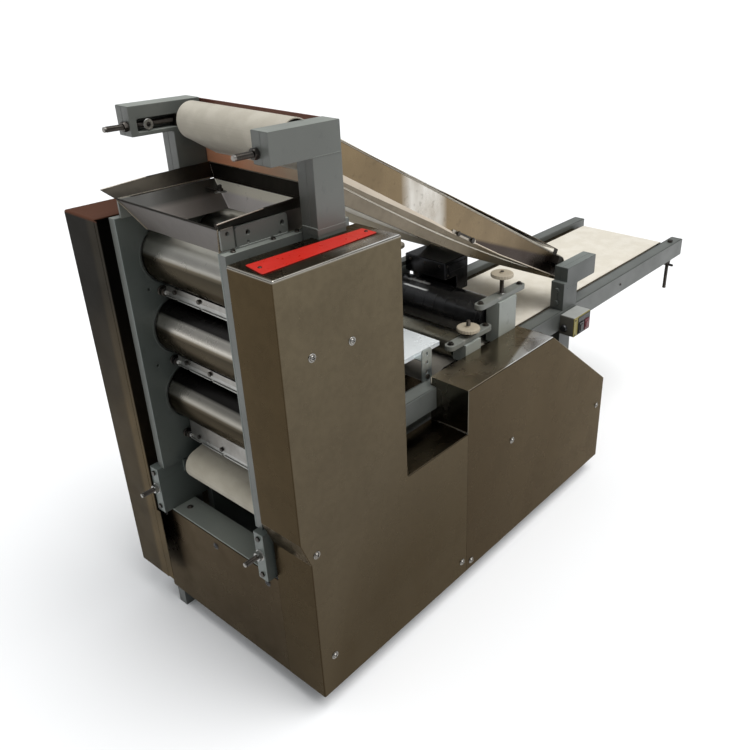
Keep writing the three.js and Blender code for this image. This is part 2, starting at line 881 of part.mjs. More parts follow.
// Clamp handle under the near rail's end.
const clampHandle = {
  back: 65,
  out: 212,
  rod: 7,
  boss: 14,
  boreDepth: 27,
  length: 123,
  bar: 5,
  barHalf: 24,
  barDrop: 28,
  collar: 10,
};
const clampHandleX = rail.end - clampHandle.back;

function handle() {
  const y = near * clampHandle.out;
  const x = clampHandleX;
  const { rod, bar, barHalf } = clampHandle;
  const barHeight = rail.bottom - clampHandle.barDrop;
  return join(
    rodZ(x, y, rod, rail.bottom - clampHandle.length, rail.bottom + clampHandle.boreDepth - gap),
    rodZ(x, y, clampHandle.collar, barHeight + 2 * bar, rail.bottom - overrun - gap),
    rodY(x, barHeight, bar, y - barHalf, y + barHalf, shaftFacets),
  );
}

// Guide plate from the infeed belt to the outfeed belt, with its two brackets on the rails.
const guide = {
  start: 446,
  startRise: 20,
  bend: 466,
  end: 616,
  rise: 83,
  half: 167,
  thickness: 3,
  bracket: [516, 553],
  bracketRise: 100,
  bracketWall: 4,
  tabDrop: 12,
};

function guidePlate() {
  const t = guide.thickness;
  const foot = beltTop + guide.startRise;
  const height = beltTop + guide.rise;
  const tabFoot = height - guide.tabDrop;
  const outline = [
    [guide.start, foot],
    [guide.start + t, foot],
    [guide.bend + t, height - t],
    [guide.end, height - t],
    [guide.end, height],
    [guide.bend, height],
  ];
  const pieces = [prism(outline, -guide.half, guide.half)];
  for (const side of [near, far]) {
    pieces.push(
      sideBlock(side, guide.bend, guide.end, guide.half - t, guide.half, tabFoot, height - overrun),
      sideBlock(
        side,
        guide.bracket[0],
        guide.bracket[1],
        guide.half - overrun,
        tubeInner + overrun,
        tabFoot,
        tabFoot + t,
      ),
      sideBlock(
        side,
        guide.bracket[0],
        guide.bracket[1],
        tubeInner,
        tubeInner + guide.bracketWall,
        railTop + gap,
        beltTop + guide.bracketRise,
      ),
    );
  }
  return join(pieces);
}

// Stations on the rails: a bearing block each side with a clamp plate on it and a knob that sets the nip.
// Their heights count from the outfeed belt.
const station = {
  inner: 172,
  outer: 215,
  plateInner: 179,
  plateOuter: 209,
  plateThickness: 13,
  rollerHalf: 165,
  knobRadius: 31,
  knobThickness: 12,
  stem: 6,
  stemPlay: 0.6,
  stemDepth: 26,
};
const stationMiddle = (station.plateInner + station.plateOuter) / 2;
const press = {
  x: 702,
  front: 37,
  rear: 29,
  height: 64,
  plateFront: 90,
  plateRear: 93,
  radius: 34,
  knobRise: 25,
  tip: 18,
};
const cutter = {
  x: 850,
  front: 38,
  rear: 44,
  height: 135,
  plateFront: 112,
  plateRear: 102,
  radius: 60,
  knobRise: 60,
  tip: 4,
};

function bearing(side, unit) {
  const z = beltTop + unit.radius + gap;
  const half = (station.plateOuter - station.plateInner) / 2;
  const blockTop = beltTop + unit.height;
  const top = blockTop + station.plateThickness;
  const [front, rear] = [unit.x - unit.front, unit.x + unit.rear];
  const body = sideBlock(side, front, rear, station.inner, station.outer, railTop + gap, blockTop);
  const middle = side * stationMiddle;
  const strip = sideBlock(
    side,
    unit.x - unit.plateFront + half,
    unit.x + unit.plateRear - half,
    station.plateInner,
    station.plateOuter,
    blockTop - overrun,
    top,
  );
  const ends = [unit.x - unit.plateFront + half, unit.x + unit.plateRear - half].map((x) =>
    rodZ(x, middle, half, blockTop - overrun, top),
  );
  const shaftHole = rodY(
    unit.x,
    z,
    beltShaft.radius + beltShaft.play,
    side * (station.inner - overrun),
    side * (station.outer - 2 * sheet),
  );
  const holeRadius = station.stem + station.stemPlay;
  const stemHole = rodZ(unit.x, middle, holeRadius, top - station.stemDepth, top + overrun);
  return cut(join(body, strip, ends), shaftHole, stemHole);
}

function knob(side, unit) {
  const y = side * stationMiddle;
  const blockTop = beltTop + unit.height;
  const stemFoot = blockTop + station.plateThickness - station.stemDepth + gap;
  const knobFoot = blockTop + unit.knobRise;
  const knobTop = knobFoot + station.knobThickness;
  return join(
    rodZ(unit.x, y, station.stem, stemFoot, knobTop + unit.tip),
    rodZ(unit.x, y, station.knobRadius, knobFoot, knobTop, shaftFacets),
  );
}

function stationRoller(unit) {
  const z = beltTop + unit.radius + gap;
  const end = station.outer - 2 * sheet - gap;
  return join(
    rodY(unit.x, z, unit.radius, -station.rollerHalf, station.rollerHalf, rollerFacets),
    rodY(unit.x, z, beltShaft.radius, -end, end),
  );
}

// Hood behind the cutter, on a foot on the far rail.
const hood = {
  front: 860,
  stem: 915,
  rear: 970,
  rise: 80,
  stepRise: 130,
  topRise: 183,
  near: 11,
  far: 160,
  footX: 955,
  footInner: 191,
  footOuter: 214,
};

function cutterHood() {
  const bottom = beltTop + hood.rise;
  const step = beltTop + hood.stepRise;
  const top = beltTop + hood.topRise;
  const outline = [
    [hood.stem, bottom],
    [hood.rear, bottom],
    [hood.rear, top],
    [hood.front, top],
    [hood.front, step],
    [hood.stem, step],
  ];
  return join(
    prism(outline, hood.near, hood.far),
    block(hood.footX, hood.rear, hood.far - overrun, hood.footOuter, step, step + station.plateThickness),
    block(hood.footX, hood.rear, hood.footInner, hood.footOuter, railTop + gap, step + overrun),
  );
}

// Motor and gearbox on the motor plate, and the wheel on its output shaft.
const motor = {
  radius: 62,
  length: 210,
  boxHalfX: 62,
  boxRise: 70,
  boxNear: -160,
  boxFar: -66,
  shaft: 12,
  footHalf: 40,
};

function gearMotor() {
  const { x, height: z } = chainMotor;
  const plateTop = baseTop + base.motorPlate + gap;
  return cut(
    join(
      block(x - motor.boxHalfX, x + motor.boxHalfX, motor.boxNear, motor.boxFar, plateTop, z + motor.boxRise),
      rodY(x, z, motor.radius, motor.boxFar - overrun, motor.boxFar + motor.length, rollerFacets),
      block(x - motor.footHalf, x + motor.footHalf, 0, motor.length / 2, plateTop, z),
    ),
    rodY(x, z, motor.shaft + beltShaft.play, motor.boxNear - overrun, motor.boxNear + motor.boxHalfX),
  );
}

function motorWheel() {
  const { x, height: z } = chainMotor;
  const middle = chainInner + chain.width / 2;
  const half = chain.wheelWidth / 2;
  return join(
    rodY(x, z, motor.shaft, motor.boxNear + motor.boxHalfX - gap, -middle - chain.width / 2),
    rodY(x, z, chain.wheelRadius, -middle - half, -middle + half, rollerFacets),
  );
}

function driveChain() {
  const outer = chain.wheelRadius + drumPlay + chain.thickness;
  const top = roller.lowHeight + (levels.length - 1) * roller.pitch;
  const circles = [
    { x: roller.frontX, z: roller.lowHeight, outer },
    { x: roller.frontX, z: top, outer },
    { x: chainMotor.x, z: chainMotor.height, outer },
  ];
  const outline = bandOutline(circles);
  const inner = bandOutline(circles, chain.thickness).reverse();
  return prism(outline, -chainInner - chain.width, -chainInner, [inner]);
}

// Switch box on the near rail, with two square push buttons.
const box = { front: 1108, rear: 1202, drop: 23, height: 75, depth: 50, pocket: 20, play: 0.5 };
const boxBottom = rail.bottom - box.drop;
const button = { width: 26, height: 34, proud: 7, travel: 4, starts: [1134, 1167], rise: 20 };
const buttonBottom = boxBottom + button.rise;

function switchBox() {
  const outer = tubeOuter + box.depth;
  const top = boxBottom + box.height;
  const body = sideBlock(near, box.front, box.rear, tubeOuter + gap, outer, boxBottom, top);
  const pockets = button.starts.map((x) =>
    sideBlock(
      near,
      x - box.play,
      x + button.width + box.play,
      outer - box.pocket,
      outer + overrun,
      buttonBottom - box.play,
      buttonBottom + button.height + box.play,
    ),
  );
  return cut(body, pockets);
}

function pushButton(x) {
  const outer = tubeOuter + box.depth;
  const inner = outer - box.pocket + button.travel + box.play;
  const top = buttonBottom + button.height;
  return sideBlock(near, x, x + button.width, inner, outer + button.proud, buttonBottom, top);
}

// Assembly.
const sides = [
  ["near", near],
  ["far", far],
];
add("base_frame", baseFrame(), "paint");
for (const [name, side] of sides) {
  add(name + "_head_plate", headPlate(side), "paint");
  add(name + "_cheek", cheekPlate(side), "paint");
  add(name + "_head_cover", headCoverShell(side), "steel");
  add(name + "_rear_cover", rearCoverShell(side), "steel");
  add(name + "_top_arm", topArm(side), "paint");
  add(name + "_top_screw", topScrew(side), "bolt");
  add(name + "_outfeed_arm", outfeedArm(side), "paint");
  add(name + "_outfeed_rail", outfeedRail(side), "paint");
  add(name + "_press_block", bearing(side, press), "paint");
  add(name + "_cutter_block", bearing(side, cutter), "paint");
  add(name + "_press_knob", knob(side, press), "beige");
  add(name + "_cutter_knob", knob(side, cutter), "beige");
}
add("front_tray", frontTray(), "darkPaint");
add("front_panel", frontPanel(), "steel");
add("hopper", hopperShell(), "steel");
levels.forEach((level, i) => {
  const z = roller.lowHeight + i * roller.pitch;
  add(level + "_front_roller", sheetingRoller(roller.frontX, z, true), "roller");
  add(level + "_rear_roller", sheetingRoller(rollerRearX, z, false), "roller");
  add(level + "_scraper", scraperBar(z, scraper.drops[i]), "steel");
});
add("gear_motor", gearMotor(), "castIron");
add("motor_wheel", motorWheel(), "castIron");
add("drive_chain", driveChain(), "castIron");

const infeedCircles = [
  { x: infeed.frontX, z: infeed.frontHeight, outer: infeed.frontOuter },
  { x: infeed.rearX, z: infeedRearHeight, outer: infeed.rearOuter },
];
add("infeed_belt", belt(infeedCircles, infeed.halfWidth, beltThickness), "canvas");
const cheekShaftEnd = platesOuter - sheet - gap;
add(
  "infeed_front_roller",
  beltRoller(infeed.frontX, infeed.frontHeight, infeed.frontOuter, infeed.halfWidth, cheekShaftEnd),
  "roller",
);
const railShaftEnd = tubeInner + rail.wall;
add(
  "infeed_rear_roller",
  beltRoller(infeed.rearX, infeedRearHeight, infeed.rearOuter, infeed.halfWidth, railShaftEnd),
  "roller",
);

const outfeedCircles = [
  { x: outfeed.frontX, z: beltTop - outfeed.frontOuter, outer: outfeed.frontOuter },
  { x: outfeedEndX, z: beltTop - outfeed.endOuter, outer: outfeed.endOuter },
];
add("outfeed_belt", belt(outfeedCircles, outfeed.halfWidth, beltThickness), "canvas");
outfeedCircles.forEach((circle, i) => {
  const name = ["outfeed_front_roller", "outfeed_end_roller"][i];
  add(name, beltRoller(circle.x, circle.z, circle.outer, outfeed.halfWidth, railShaftEnd), "roller");
});
add("outfeed_bed", outfeedBed(), "steel");
add("clamp_handle", handle(), "bolt");
add("guide_plate", guidePlate(), "steel");

const backCircles = [
  { x: back.topX, z: backTopHeight, outer: back.topOuter },
  { x: back.lowX, z: backLowHeight, outer: back.lowOuter },
];
add("return_belt", belt(backCircles, back.halfWidth, beltThickness, back.sag), "canvas");
backCircles.forEach((circle, i) => {
  const name = ["return_top_roller", "return_low_roller"][i];
  const shaftEnd = tubeInner + armSlot.depth - gap;
  add(name, beltRoller(circle.x, circle.z, circle.outer, back.halfWidth, shaftEnd), "roller");
});
add("return_tray", returnTray(), "steel");
add("press_roller", stationRoller(press), "roller");
add("cutter_roller", stationRoller(cutter), "black");
add("cutter_hood", cutterHood(), "black");
add("switch_box", switchBox(), "yellow");
add("start_button", pushButton(button.starts[0]), "black");
add("stop_button", pushButton(button.starts[1]), "red");

export default machine;
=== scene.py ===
import json
import math

import bmesh
import bpy
from mathutils import Matrix, Vector
from mathutils.geometry import tessellate_polygon

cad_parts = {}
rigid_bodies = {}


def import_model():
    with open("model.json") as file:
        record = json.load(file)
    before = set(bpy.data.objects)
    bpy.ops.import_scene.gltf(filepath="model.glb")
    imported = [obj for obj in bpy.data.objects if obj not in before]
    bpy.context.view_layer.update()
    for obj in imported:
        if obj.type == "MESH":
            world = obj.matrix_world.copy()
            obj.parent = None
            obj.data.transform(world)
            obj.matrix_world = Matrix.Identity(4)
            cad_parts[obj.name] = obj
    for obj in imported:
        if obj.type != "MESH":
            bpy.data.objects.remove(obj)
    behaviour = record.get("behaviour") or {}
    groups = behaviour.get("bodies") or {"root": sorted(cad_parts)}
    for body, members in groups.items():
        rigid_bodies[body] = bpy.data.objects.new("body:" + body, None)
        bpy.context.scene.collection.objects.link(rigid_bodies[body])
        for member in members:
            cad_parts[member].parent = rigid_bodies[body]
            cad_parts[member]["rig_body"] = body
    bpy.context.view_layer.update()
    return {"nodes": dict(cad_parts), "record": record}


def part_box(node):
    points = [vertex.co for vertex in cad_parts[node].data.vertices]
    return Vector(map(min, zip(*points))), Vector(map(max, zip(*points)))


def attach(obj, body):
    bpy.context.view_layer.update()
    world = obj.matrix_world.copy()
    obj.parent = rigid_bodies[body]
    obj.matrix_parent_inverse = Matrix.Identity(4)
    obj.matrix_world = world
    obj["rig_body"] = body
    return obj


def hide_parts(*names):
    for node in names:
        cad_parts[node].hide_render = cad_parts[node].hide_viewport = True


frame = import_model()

# Lengths are millimetres in the machine's own frame: X from the front panel to the outfeed end, Z up from the
# covers' lower edges, Y from the middle towards the far side. at() turns them into the part's metres.
MM = 0.001
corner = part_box("front_panel")[0]
ORIGIN = Vector((corner.x, 0, corner.z))
NEAR, FAR = -1, 1
SIDES = {"near": NEAR, "far": FAR}
nodes = frame["nodes"]
slots = {part["node"]: part["material_slot"] for part in frame["record"]["subparts"]}
done = set()


def at(x, y, z):
    return Vector((x, y, z)) * MM + ORIGIN


# Camera.
CAMERA_PLACE = Vector((-1.7377, -1.2888, 1.5112))
CAMERA_AIM = Vector((0.6973, 0.5549, -0.4536))
CAMERA_LENS = 37.04
CAMERA_SHIFT = (-0.0950, -0.0208)


def make_camera():
    camera = bpy.data.objects.new("camera", bpy.data.cameras.new("camera"))
    camera.location = CAMERA_PLACE
    camera.rotation_euler = CAMERA_AIM.to_track_quat("-Z", "Y").to_euler()
    camera.data.lens = CAMERA_LENS
    camera.data.sensor_width = 36
    camera.data.shift_x, camera.data.shift_y = CAMERA_SHIFT
    bpy.context.scene.collection.objects.link(camera)
    bpy.context.scene.camera = camera


make_camera()


# Materials.
def set_stops(ramp, stops):
    """Gives a colour ramp its stops, each a position and a colour."""
    while len(ramp.elements) < len(stops):
        ramp.elements.new(0.5)
    for element, (position, colour) in zip(ramp.elements, stops):
        element.position = position
        element.color = (*colour, 1)


def shade(colour, factor):
    return tuple(factor * v for v in colour)


SPOTS = (0.42, 0.62)


class Look:
    """A node material on the object's own coordinates."""

    def __init__(self, name, colour, metallic, roughness):
        self.material = bpy.data.materials.new(name)
        self.material.use_nodes = True
        self.tree = self.material.node_tree
        self.shader = self.tree.nodes["Principled BSDF"]
        self.set("Base Color", (*colour, 1))
        self.set("Metallic", metallic)
        self.set("Roughness", roughness)
        self.place = self.node("TexCoord").outputs["Object"]
        self.colour = None
        self.normal = None

    def set(self, socket, value):
        self.feed(value, self.shader.inputs[socket])

    def feed(self, value, socket):
        """Links an output to a socket, or sets the socket to a constant."""
        if isinstance(value, bpy.types.NodeSocket):
            self.tree.links.new(value, socket)
        else:
            socket.default_value = value

    def node(self, kind, **inputs):
        made = self.tree.nodes.new("ShaderNode" + kind)
        for name, value in inputs.items():
            self.feed(value, made.inputs[name.replace("_", " ")])
        return made

    def noise(self, scale, detail, stretch=None, distortion=0.0):
        place = self.place
        if stretch:
            place = self.node("Mapping", Scale=stretch, Vector=place).outputs["Vector"]
        made = self.node("TexNoise", Scale=scale, Detail=detail, Distortion=distortion, Vector=place)
        return made.outputs["Fac"]

    def wave(self, scale, direction):
        made = self.node("TexWave", Scale=scale, Distortion=0.5, Vector=self.place)
        made.bands_direction = direction
        return made.outputs["Fac"]

    def ramp(self, source, stops):
        made = self.node("ValToRGB", Fac=source)
        set_stops(made.color_ramp, stops)
        return made.outputs["Color"]

    def range(self, source, low, high, start=0.0, end=1.0):
        made = self.node("MapRange", Value=source, From_Min=low, From_Max=high, To_Min=start, To_Max=end)
        return made.outputs["Result"]

    def math(self, kind, first, second):
        made = self.node("Math")
        made.operation = kind
        self.feed(first, made.inputs[0])
        self.feed(second, made.inputs[1])
        return made.outputs[0]

    def coordinate(self, axis):
        return self.node("SeparateXYZ", Vector=self.place).outputs[axis]

    def facing(self, axis):
        """How far a surface faces along an axis, from -1 to 1."""
        normal = self.node("NewGeometry").outputs["Normal"]
        return self.node("SeparateXYZ", Vector=normal).outputs[axis]

    # Masks: shares from 0 to 1.
    def between(self, axis, low, high):
        """Rises between two places along an axis of the machine."""
        start = ORIGIN["XYZ".index(axis)]
        return self.range(self.coordinate(axis), low * MM + start, high * MM + start)

    def span(self, low, high):
        return self.between("X", low, high)

    def lane(self, low, high):
        return self.between("Y", low, high)

    def height(self, low, high):
        return self.between("Z", low, high)

    def faces(self, axis, low, high):
        """Rises between two degrees of facing along an axis."""
        return self.range(self.facing(axis), low, high)

    def under(self, axis, slope, place, blur):
        """Rises across a sloping line through a place (x, axis), towards the axis's lower values."""
        line = self.math("ADD", self.coordinate(axis), self.math("MULTIPLY", self.coordinate("X"), slope))
        start = (place[1] + ORIGIN["XYZ".index(axis)] / MM + slope * (place[0] + ORIGIN.x / MM)) * MM
        return self.range(line, start + blur, start - blur)

    def both(self, *masks):
        product = masks[0]
        for mask in masks[1:]:
            product = self.math("MULTIPLY", product, mask)
        return product

    def outside(self, mask):
        return self.math("SUBTRACT", 1.0, mask)

    def swing(self, source, amount):
        """A noise made to rise and fall about nothing."""
        return self.math("MULTIPLY", self.math("SUBTRACT", source, 0.5), amount)

    # Layers on the shader.
    def tint(self, share, colour, kind="MIX"):
        """Mixes a colour over what the base colour is so far."""
        mix = self.node("Mix")
        mix.data_type = "RGBA"
        mix.blend_type = kind
        base = self.shader.inputs["Base Color"]
        self.feed(share, mix.inputs[0])
        self.feed(base.default_value if self.colour is None else self.colour, mix.inputs[6])
        self.feed((*colour, 1) if isinstance(colour, tuple) else colour, mix.inputs[7])
        self.colour = mix.outputs[2]
        self.feed(self.colour, base)

    def spots(self, scale, detail, amount, colour, limits=SPOTS):
        """Spots of a colour, where a noise rises between two limits."""
        self.tint(self.range(self.noise(scale, detail), *limits, 0.0, amount), colour)

    def rough(self, scale, detail, low, high):
        self.set("Roughness", self.range(self.noise(scale, detail), 0.3, 0.7, low, high))

    def bump(self, source, strength, distance):
        made = self.node("Bump", Strength=strength, Distance=distance * MM, Height=source)
        if self.normal:
            self.feed(self.normal, made.inputs["Normal"])
        self.normal = made.outputs["Normal"]
        self.set("Normal", self.normal)


ACROSS = (1, 40, 1)
ALONG = (40, 1, 40)
UPRIGHT = (30, 30, 1)
SMOKY_EDGE = (0.85, 0.78, 0.68, 1)
LID_EDGE, LID_FLAT, LOW_LID_FLAT = (993.5, 997.5), (980, 990), (540, 550)
# Painted light on the lids: a painted dark reflection on the head lids, a painted reflection tone on the rear
# lids, and a painted glare, whose patch on the rear lid lies beside a sloping line through a place.
LID_SHADE, REAR_LID_REFLECTION, GLARE = (0.15, 0.13, 0.10), (0.36, 0.31, 0.235), (0.95, 0.95, 0.93)
GLARE_PLACE, GLARE_SLOPE = (662, -337), -0.30
# A painted shadow wedge on the return tray: a place on its edge, and the edge's slope.
SHADOW_WEDGE_PLACE, SHADOW_WEDGE_SLOPE = (760, 836), 0.393
# Painted highlight bands along the black roller: limits of how far they face up, and their ends across the
# machine.
STREAKS = ((0.78, 0.825, 40, 125), (0.962, 0.985, 50, 125))


def sheet_steel(name, tones, roughness, grain, lid=None, front=(1, 1, 1)):
    """Rolled sheet in tones for its foot, middle and top, graded by height as a painted floor reflection,
    with a factor of painted light and shade on its front faces.
    """
    low, middle, high = tones
    look = Look(name, middle, 1.0, roughness)
    # Painted floor reflection: the tones run up from the foot along a noisy line.
    reflection_wobble = look.swing(look.noise(2.2, 3, (1, 1, 0.5), 0.6), 0.8)
    level = look.math("ADD", look.height(0, 1000), reflection_wobble)
    look.tint(1.0, look.ramp(level, [(0.0, low), (0.45, middle), (1.0, high)]))
    look.spots(9, 6, 0.25, shade(middle, 0.75))
    look.spots(60, 8, 0.14, shade(middle, 0.55))
    # Painted light and shade on the faces towards the front.
    look.tint(look.faces("X", -0.4, -0.8), front, "MULTIPLY")
    if lid:
        cover_lid(look, lid)
    look.rough(14, 5, roughness - 0.07, roughness + 0.1)
    look.bump(look.noise(30, 6, grain), 0.14, 0.12)
    look.bump(look.noise(4.5, 2), 0.22, 2.0)
    look.set("Specular Tint", SMOKY_EDGE)
    return look.material


def cover_lid(look, edge):
    """Lids with painted light: a painted highlight in the given tone along the folded edge, a painted dark
    reflection on the head lids' flats, a painted reflection tone on the rear lids' flats, and painted glare
    beside each near lid's outer edge.
    """
    up = look.faces("Z", 0.75, 0.9)
    # Painted highlight along the folded edge.
    look.tint(look.height(*LID_EDGE), edge)
    lid = look.both(up, look.height(*LID_FLAT))
    # Painted dark reflection on the head lid's flat.
    look.tint(lid, LID_SHADE)
    low_lid = look.both(up, look.height(*LOW_LID_FLAT), look.outside(look.height(570, 580)))
    # Painted reflection tone on the rear lid's flat.
    look.tint(low_lid, REAR_LID_REFLECTION)
    # Painted glare beside the near lids' outer edges.
    look.tint(look.both(lid, look.span(120, 215), look.outside(look.lane(-306, -296))), GLARE)
    look.tint(look.both(lid, look.span(268, 278), look.outside(look.lane(-292, -262))), GLARE)
    look.tint(look.both(low_lid, look.under("Y", GLARE_SLOPE, GLARE_PLACE, 0.004)), GLARE)


def shaded_far_steel(name, colour, low):
    """The far cover's sheet: a dark, non-metallic copy of the cover steel that paints its shade, lighter and
    browner towards its foot in painted light.
    """
    look = Look(name, colour, 0.0, 0.45)
    # Painted light: lighter and browner towards the foot.
    level = look.math("ADD", look.height(0, 1000), look.swing(look.noise(3, 4, (1, 1, 0.4)), 0.5))
    look.tint(1.0, look.ramp(level, [(0.0, low), (0.45, low), (0.8, colour), (1.0, colour)]))
    look.spots(9, 6, 0.3, shade(colour, 0.7))
    # Painted light on the front faces beside the inner edge.
    look.tint(look.both(look.faces("X", -0.5, -0.8), look.lane(252, 238)), (1.7, 1.6, 1.4), "MULTIPLY")
    look.tint(look.height(*LID_EDGE), RED_LID)
    look.rough(14, 5, 0.35, 0.5)
    look.bump(look.noise(30, 6, UPRIGHT), 0.14, 0.12)
    look.set("IOR", 1.06)
    return look.material


def plain_steel(name, colour, roughness, grain, worn):
    look = Look(name, colour, 1.0, roughness)
    look.spots(11, 6, 0.5, worn)
    look.spots(90, 6, 0.3, shade(colour, 0.6))
    look.rough(18, 5, roughness - 0.06, roughness + 0.12)
    look.bump(look.noise(40, 6, grain), 0.2, 0.12)
    return look.material


def ground_steel(name, colour, roughness, top):
    """Steel ground round an axis across the machine, with light painted by facing: painted shade below, a
    band left at full tone as a painted highlight, its top multiplied by a given tone of painted shade, and
    painted shade on the lower rollers.
    """
    look = Look(name, colour, 1.0, roughness)
    look.spots(6, 5, 0.4, shade(colour, 0.8))
    look.spots(70, 8, 0.35, shade(colour, 0.5), (0.62, 0.72))
    # Painted light by facing: shade on the underside, a highlight band, then the top's tone.
    facing_light = [(0.0, ROLLER_UNDERSIDE_SHADE), (0.55, ROLLER_UNDERSIDE_SHADE), (0.60, (0.2, 0.18, 0.15)), (0.655, (1, 1, 1)), (0.79, (1, 1, 1))]
    facing_light += [(0.83, top), (1.0, top)]
    look.tint(1.0, look.ramp(look.faces("Z", -1, 1), facing_light), "MULTIPLY")
    # Painted shade, darker on the lower rollers.
    look.tint(look.height(740, 640), (0.55, 0.55, 0.54), "MULTIPLY")
    look.rough(7, 4, roughness - 0.03, roughness + 0.04)
    look.bump(look.noise(7, 3), 0.06, 0.2)
    look.set("Specular Tint", SMOKY_EDGE)
    return look.material


def tray_steel():
    """The return tray: tan steel, with a painted whitish reflection behind the hopper, painted shade
    darkening it to brown towards the low end, and a painted shadow wedge.
    """
    look = Look("tray steel", (0.21, 0.155, 0.09), 1.0, 0.26)
    look.spots(7, 6, 0.35, (0.15, 0.11, 0.065))
    reflection_cloud = look.range(look.noise(9, 4, (1, 1, 0.4)), 0.3, 0.6)
    # Painted whitish reflection.
    look.tint(look.both(look.span(488, 520), look.outside(look.span(610, 650)), reflection_cloud), (0.80, 0.78, 0.73))
    # Painted shade, darker brown towards the low end.
    fall = look.math("ADD", look.span(700, 1150), look.math("MULTIPLY", look.height(860, 620), 0.5))
    fall = look.math("ADD", fall, look.swing(look.noise(6, 3), 0.5))
    look.tint(look.range(fall, 0.45, 0.95), (0.12, 0.085, 0.045))
    # Painted shadow wedge on the faces towards the near side.
    shadow_wedge = look.under("Z", SHADOW_WEDGE_SLOPE, SHADOW_WEDGE_PLACE, 0.005)
    look.tint(look.both(look.faces("Y", -0.5, -0.8), look.span(740, 770), shadow_wedge), (0.05, 0.036, 0.029))
    look.spots(70, 8, 0.3, (0.08, 0.06, 0.04), (0.6, 0.72))
    look.rough(14, 5, 0.2, 0.36)
    look.bump(look.noise(30, 6, ALONG), 0.14, 0.12)
    look.bump(look.noise(4.5, 2), 0.22, 2.0)
    return look.material


def rear_plate_steel():
    """The rear plate: copper red beside the far post, tan towards the near one, dark red along its top."""
    look = Look("rear plate steel", (0.80, 0.36, 0.20), 0.0, 0.4)
    look.tint(look.lane(90, -60), (0.62, 0.50, 0.36))
    look.spots(9, 5, 0.35, (0.60, 0.27, 0.15))
    look.tint(look.height(1186, 1192), (0.13, 0.045, 0.03))
    look.rough(14, 5, 0.32, 0.5)
    look.bump(look.noise(30, 6, ACROSS), 0.14, 0.12)
    return look.material


def bright_sheet(name, colour, roughness):
    """A half-metallic sheet whose pale tone is painted light."""
    look = Look(name, colour, 0.35, roughness)
    look.spots(8, 5, 0.4, shade(colour, 0.88))
    look.spots(45, 8, 0.4, shade(colour, 0.6), (0.62, 0.74))
    look.rough(16, 4, roughness - 0.05, roughness + 0.12)
    look.bump(look.noise(40, 5, ALONG), 0.15, 0.1)
    return look.material


def hopper_steel():
    """The hopper's sheet: dull outside; inside, painted light makes its rear wall paler, with a painted
    highlight band, and painted shade darkens it under its far rim.
    """
    look = Look("hopper steel", (0.115, 0.102, 0.092), 0.35, 0.36)
    look.spots(8, 5, 0.4, (0.10, 0.088, 0.08))
    inside = look.faces("Z", 0.0, 0.06)
    rear = look.both(inside, look.faces("X", -0.5, -0.8))
    # Painted light on the rear inner wall.
    look.tint(rear, (0.85, 0.80, 0.78))
    # Painted highlight band along the rear inner wall.
    look.tint(look.both(rear, look.height(1016, 1024)), (1.0, 0.95, 0.82))
    # Painted shade on the far inner wall under its rim.
    look.tint(look.both(inside, look.faces("Y", -0.5, -0.8), look.height(1012, 1022)), (0.03, 0.029, 0.025))
    look.spots(45, 8, 0.35, (0.09, 0.082, 0.075), (0.62, 0.74))
    look.rough(16, 4, 0.31, 0.48)
    look.bump(look.noise(40, 5, ALONG), 0.15, 0.1)
    return look.material


def paint(name, colour, roughness, worn, top=1.9, front=1.0):
    """Enamel with painted light: paler where it faces up, scaled by a factor where it faces the front, and
    dusted with flour.
    """
    look = Look(name, colour, 0.0, roughness)
    # Painted light on faces that face up.
    look.tint(look.faces("Z", 0.75, 0.9), shade(colour, top))
    # Painted light and shade on faces towards the front.
    look.tint(look.faces("X", -0.75, -0.9), shade(colour, front))
    look.spots(5, 5, 0.35, shade(colour, 0.82))
    look.spots(38, 9, 0.5, worn, (0.6, 0.74))
    look.rough(12, 5, roughness - 0.08, roughness + 0.12)
    look.bump(look.noise(420, 3), 0.12, 0.25)
    look.bump(look.noise(9, 3), 0.2, 0.6)
    look.set("Coat Weight", 0.15)
    look.set("Coat Roughness", 0.3)
    return look.material


def plastic(name, colour, roughness):
    look = Look(name, colour, 0.0, roughness)
    look.spots(25, 5, 0.3, shade(colour, 0.75))
    look.rough(60, 4, roughness - 0.05, roughness + 0.15)
    look.bump(look.noise(500, 3), 0.15, 0.15)
    return look.material


def black_roller():
    """Glossy black with two painted highlight streaks along its top."""
    look = Look("black roller coating", (0.016, 0.016, 0.017), 0.4, 0.2)
    look.spots(5, 4, 0.5, (0.03, 0.03, 0.031))
    for low, high, y0, y1 in STREAKS:
        upper = look.faces("Z", high + 0.012, high - 0.012)
        lit = look.both(look.faces("Z", low - 0.012, low + 0.012), upper, look.faces("X", 0.0, -0.02))
        look.tint(look.both(lit, look.lane(y0 - 6, y0 + 6), look.lane(y1 + 6, y1 - 6)), (0.85, 0.85, 0.83))
    look.rough(12, 4, 0.14, 0.26)
    look.bump(look.noise(9, 3), 0.1, 0.5)
    return look.material


def cloth(name, colour, dusty, below=None, shadow_span=None):
    """Woven cloth, with painted light on its underside behind the head and painted shadow along a span."""
    look = Look(name, colour, 0.0, 0.9)
    look.spots(4, 6, 0.45, shade(colour, 0.86))
    look.spots(22, 7, 0.35, dusty)
    if below:
        # Painted light on the underside.
        look.tint(look.both(look.faces("Z", -0.2, -0.5), look.span(235, 255)), below)
    if shadow_span:
        # Painted shadow along the span.
        look.tint(look.span(*shadow_span), (0.17, 0.155, 0.13))
    weave = look.both(look.wave(260, "X"), look.wave(260, "Y"))
    look.tint(look.range(weave, 0.0, 1.0, 0.14, 0.0), shade(colour, 0.5))
    look.bump(weave, 0.35, 0.4)
    look.bump(look.noise(14, 4), 0.2, 1.0)
    look.set("Sheen Weight", 0.2)
    return look.material
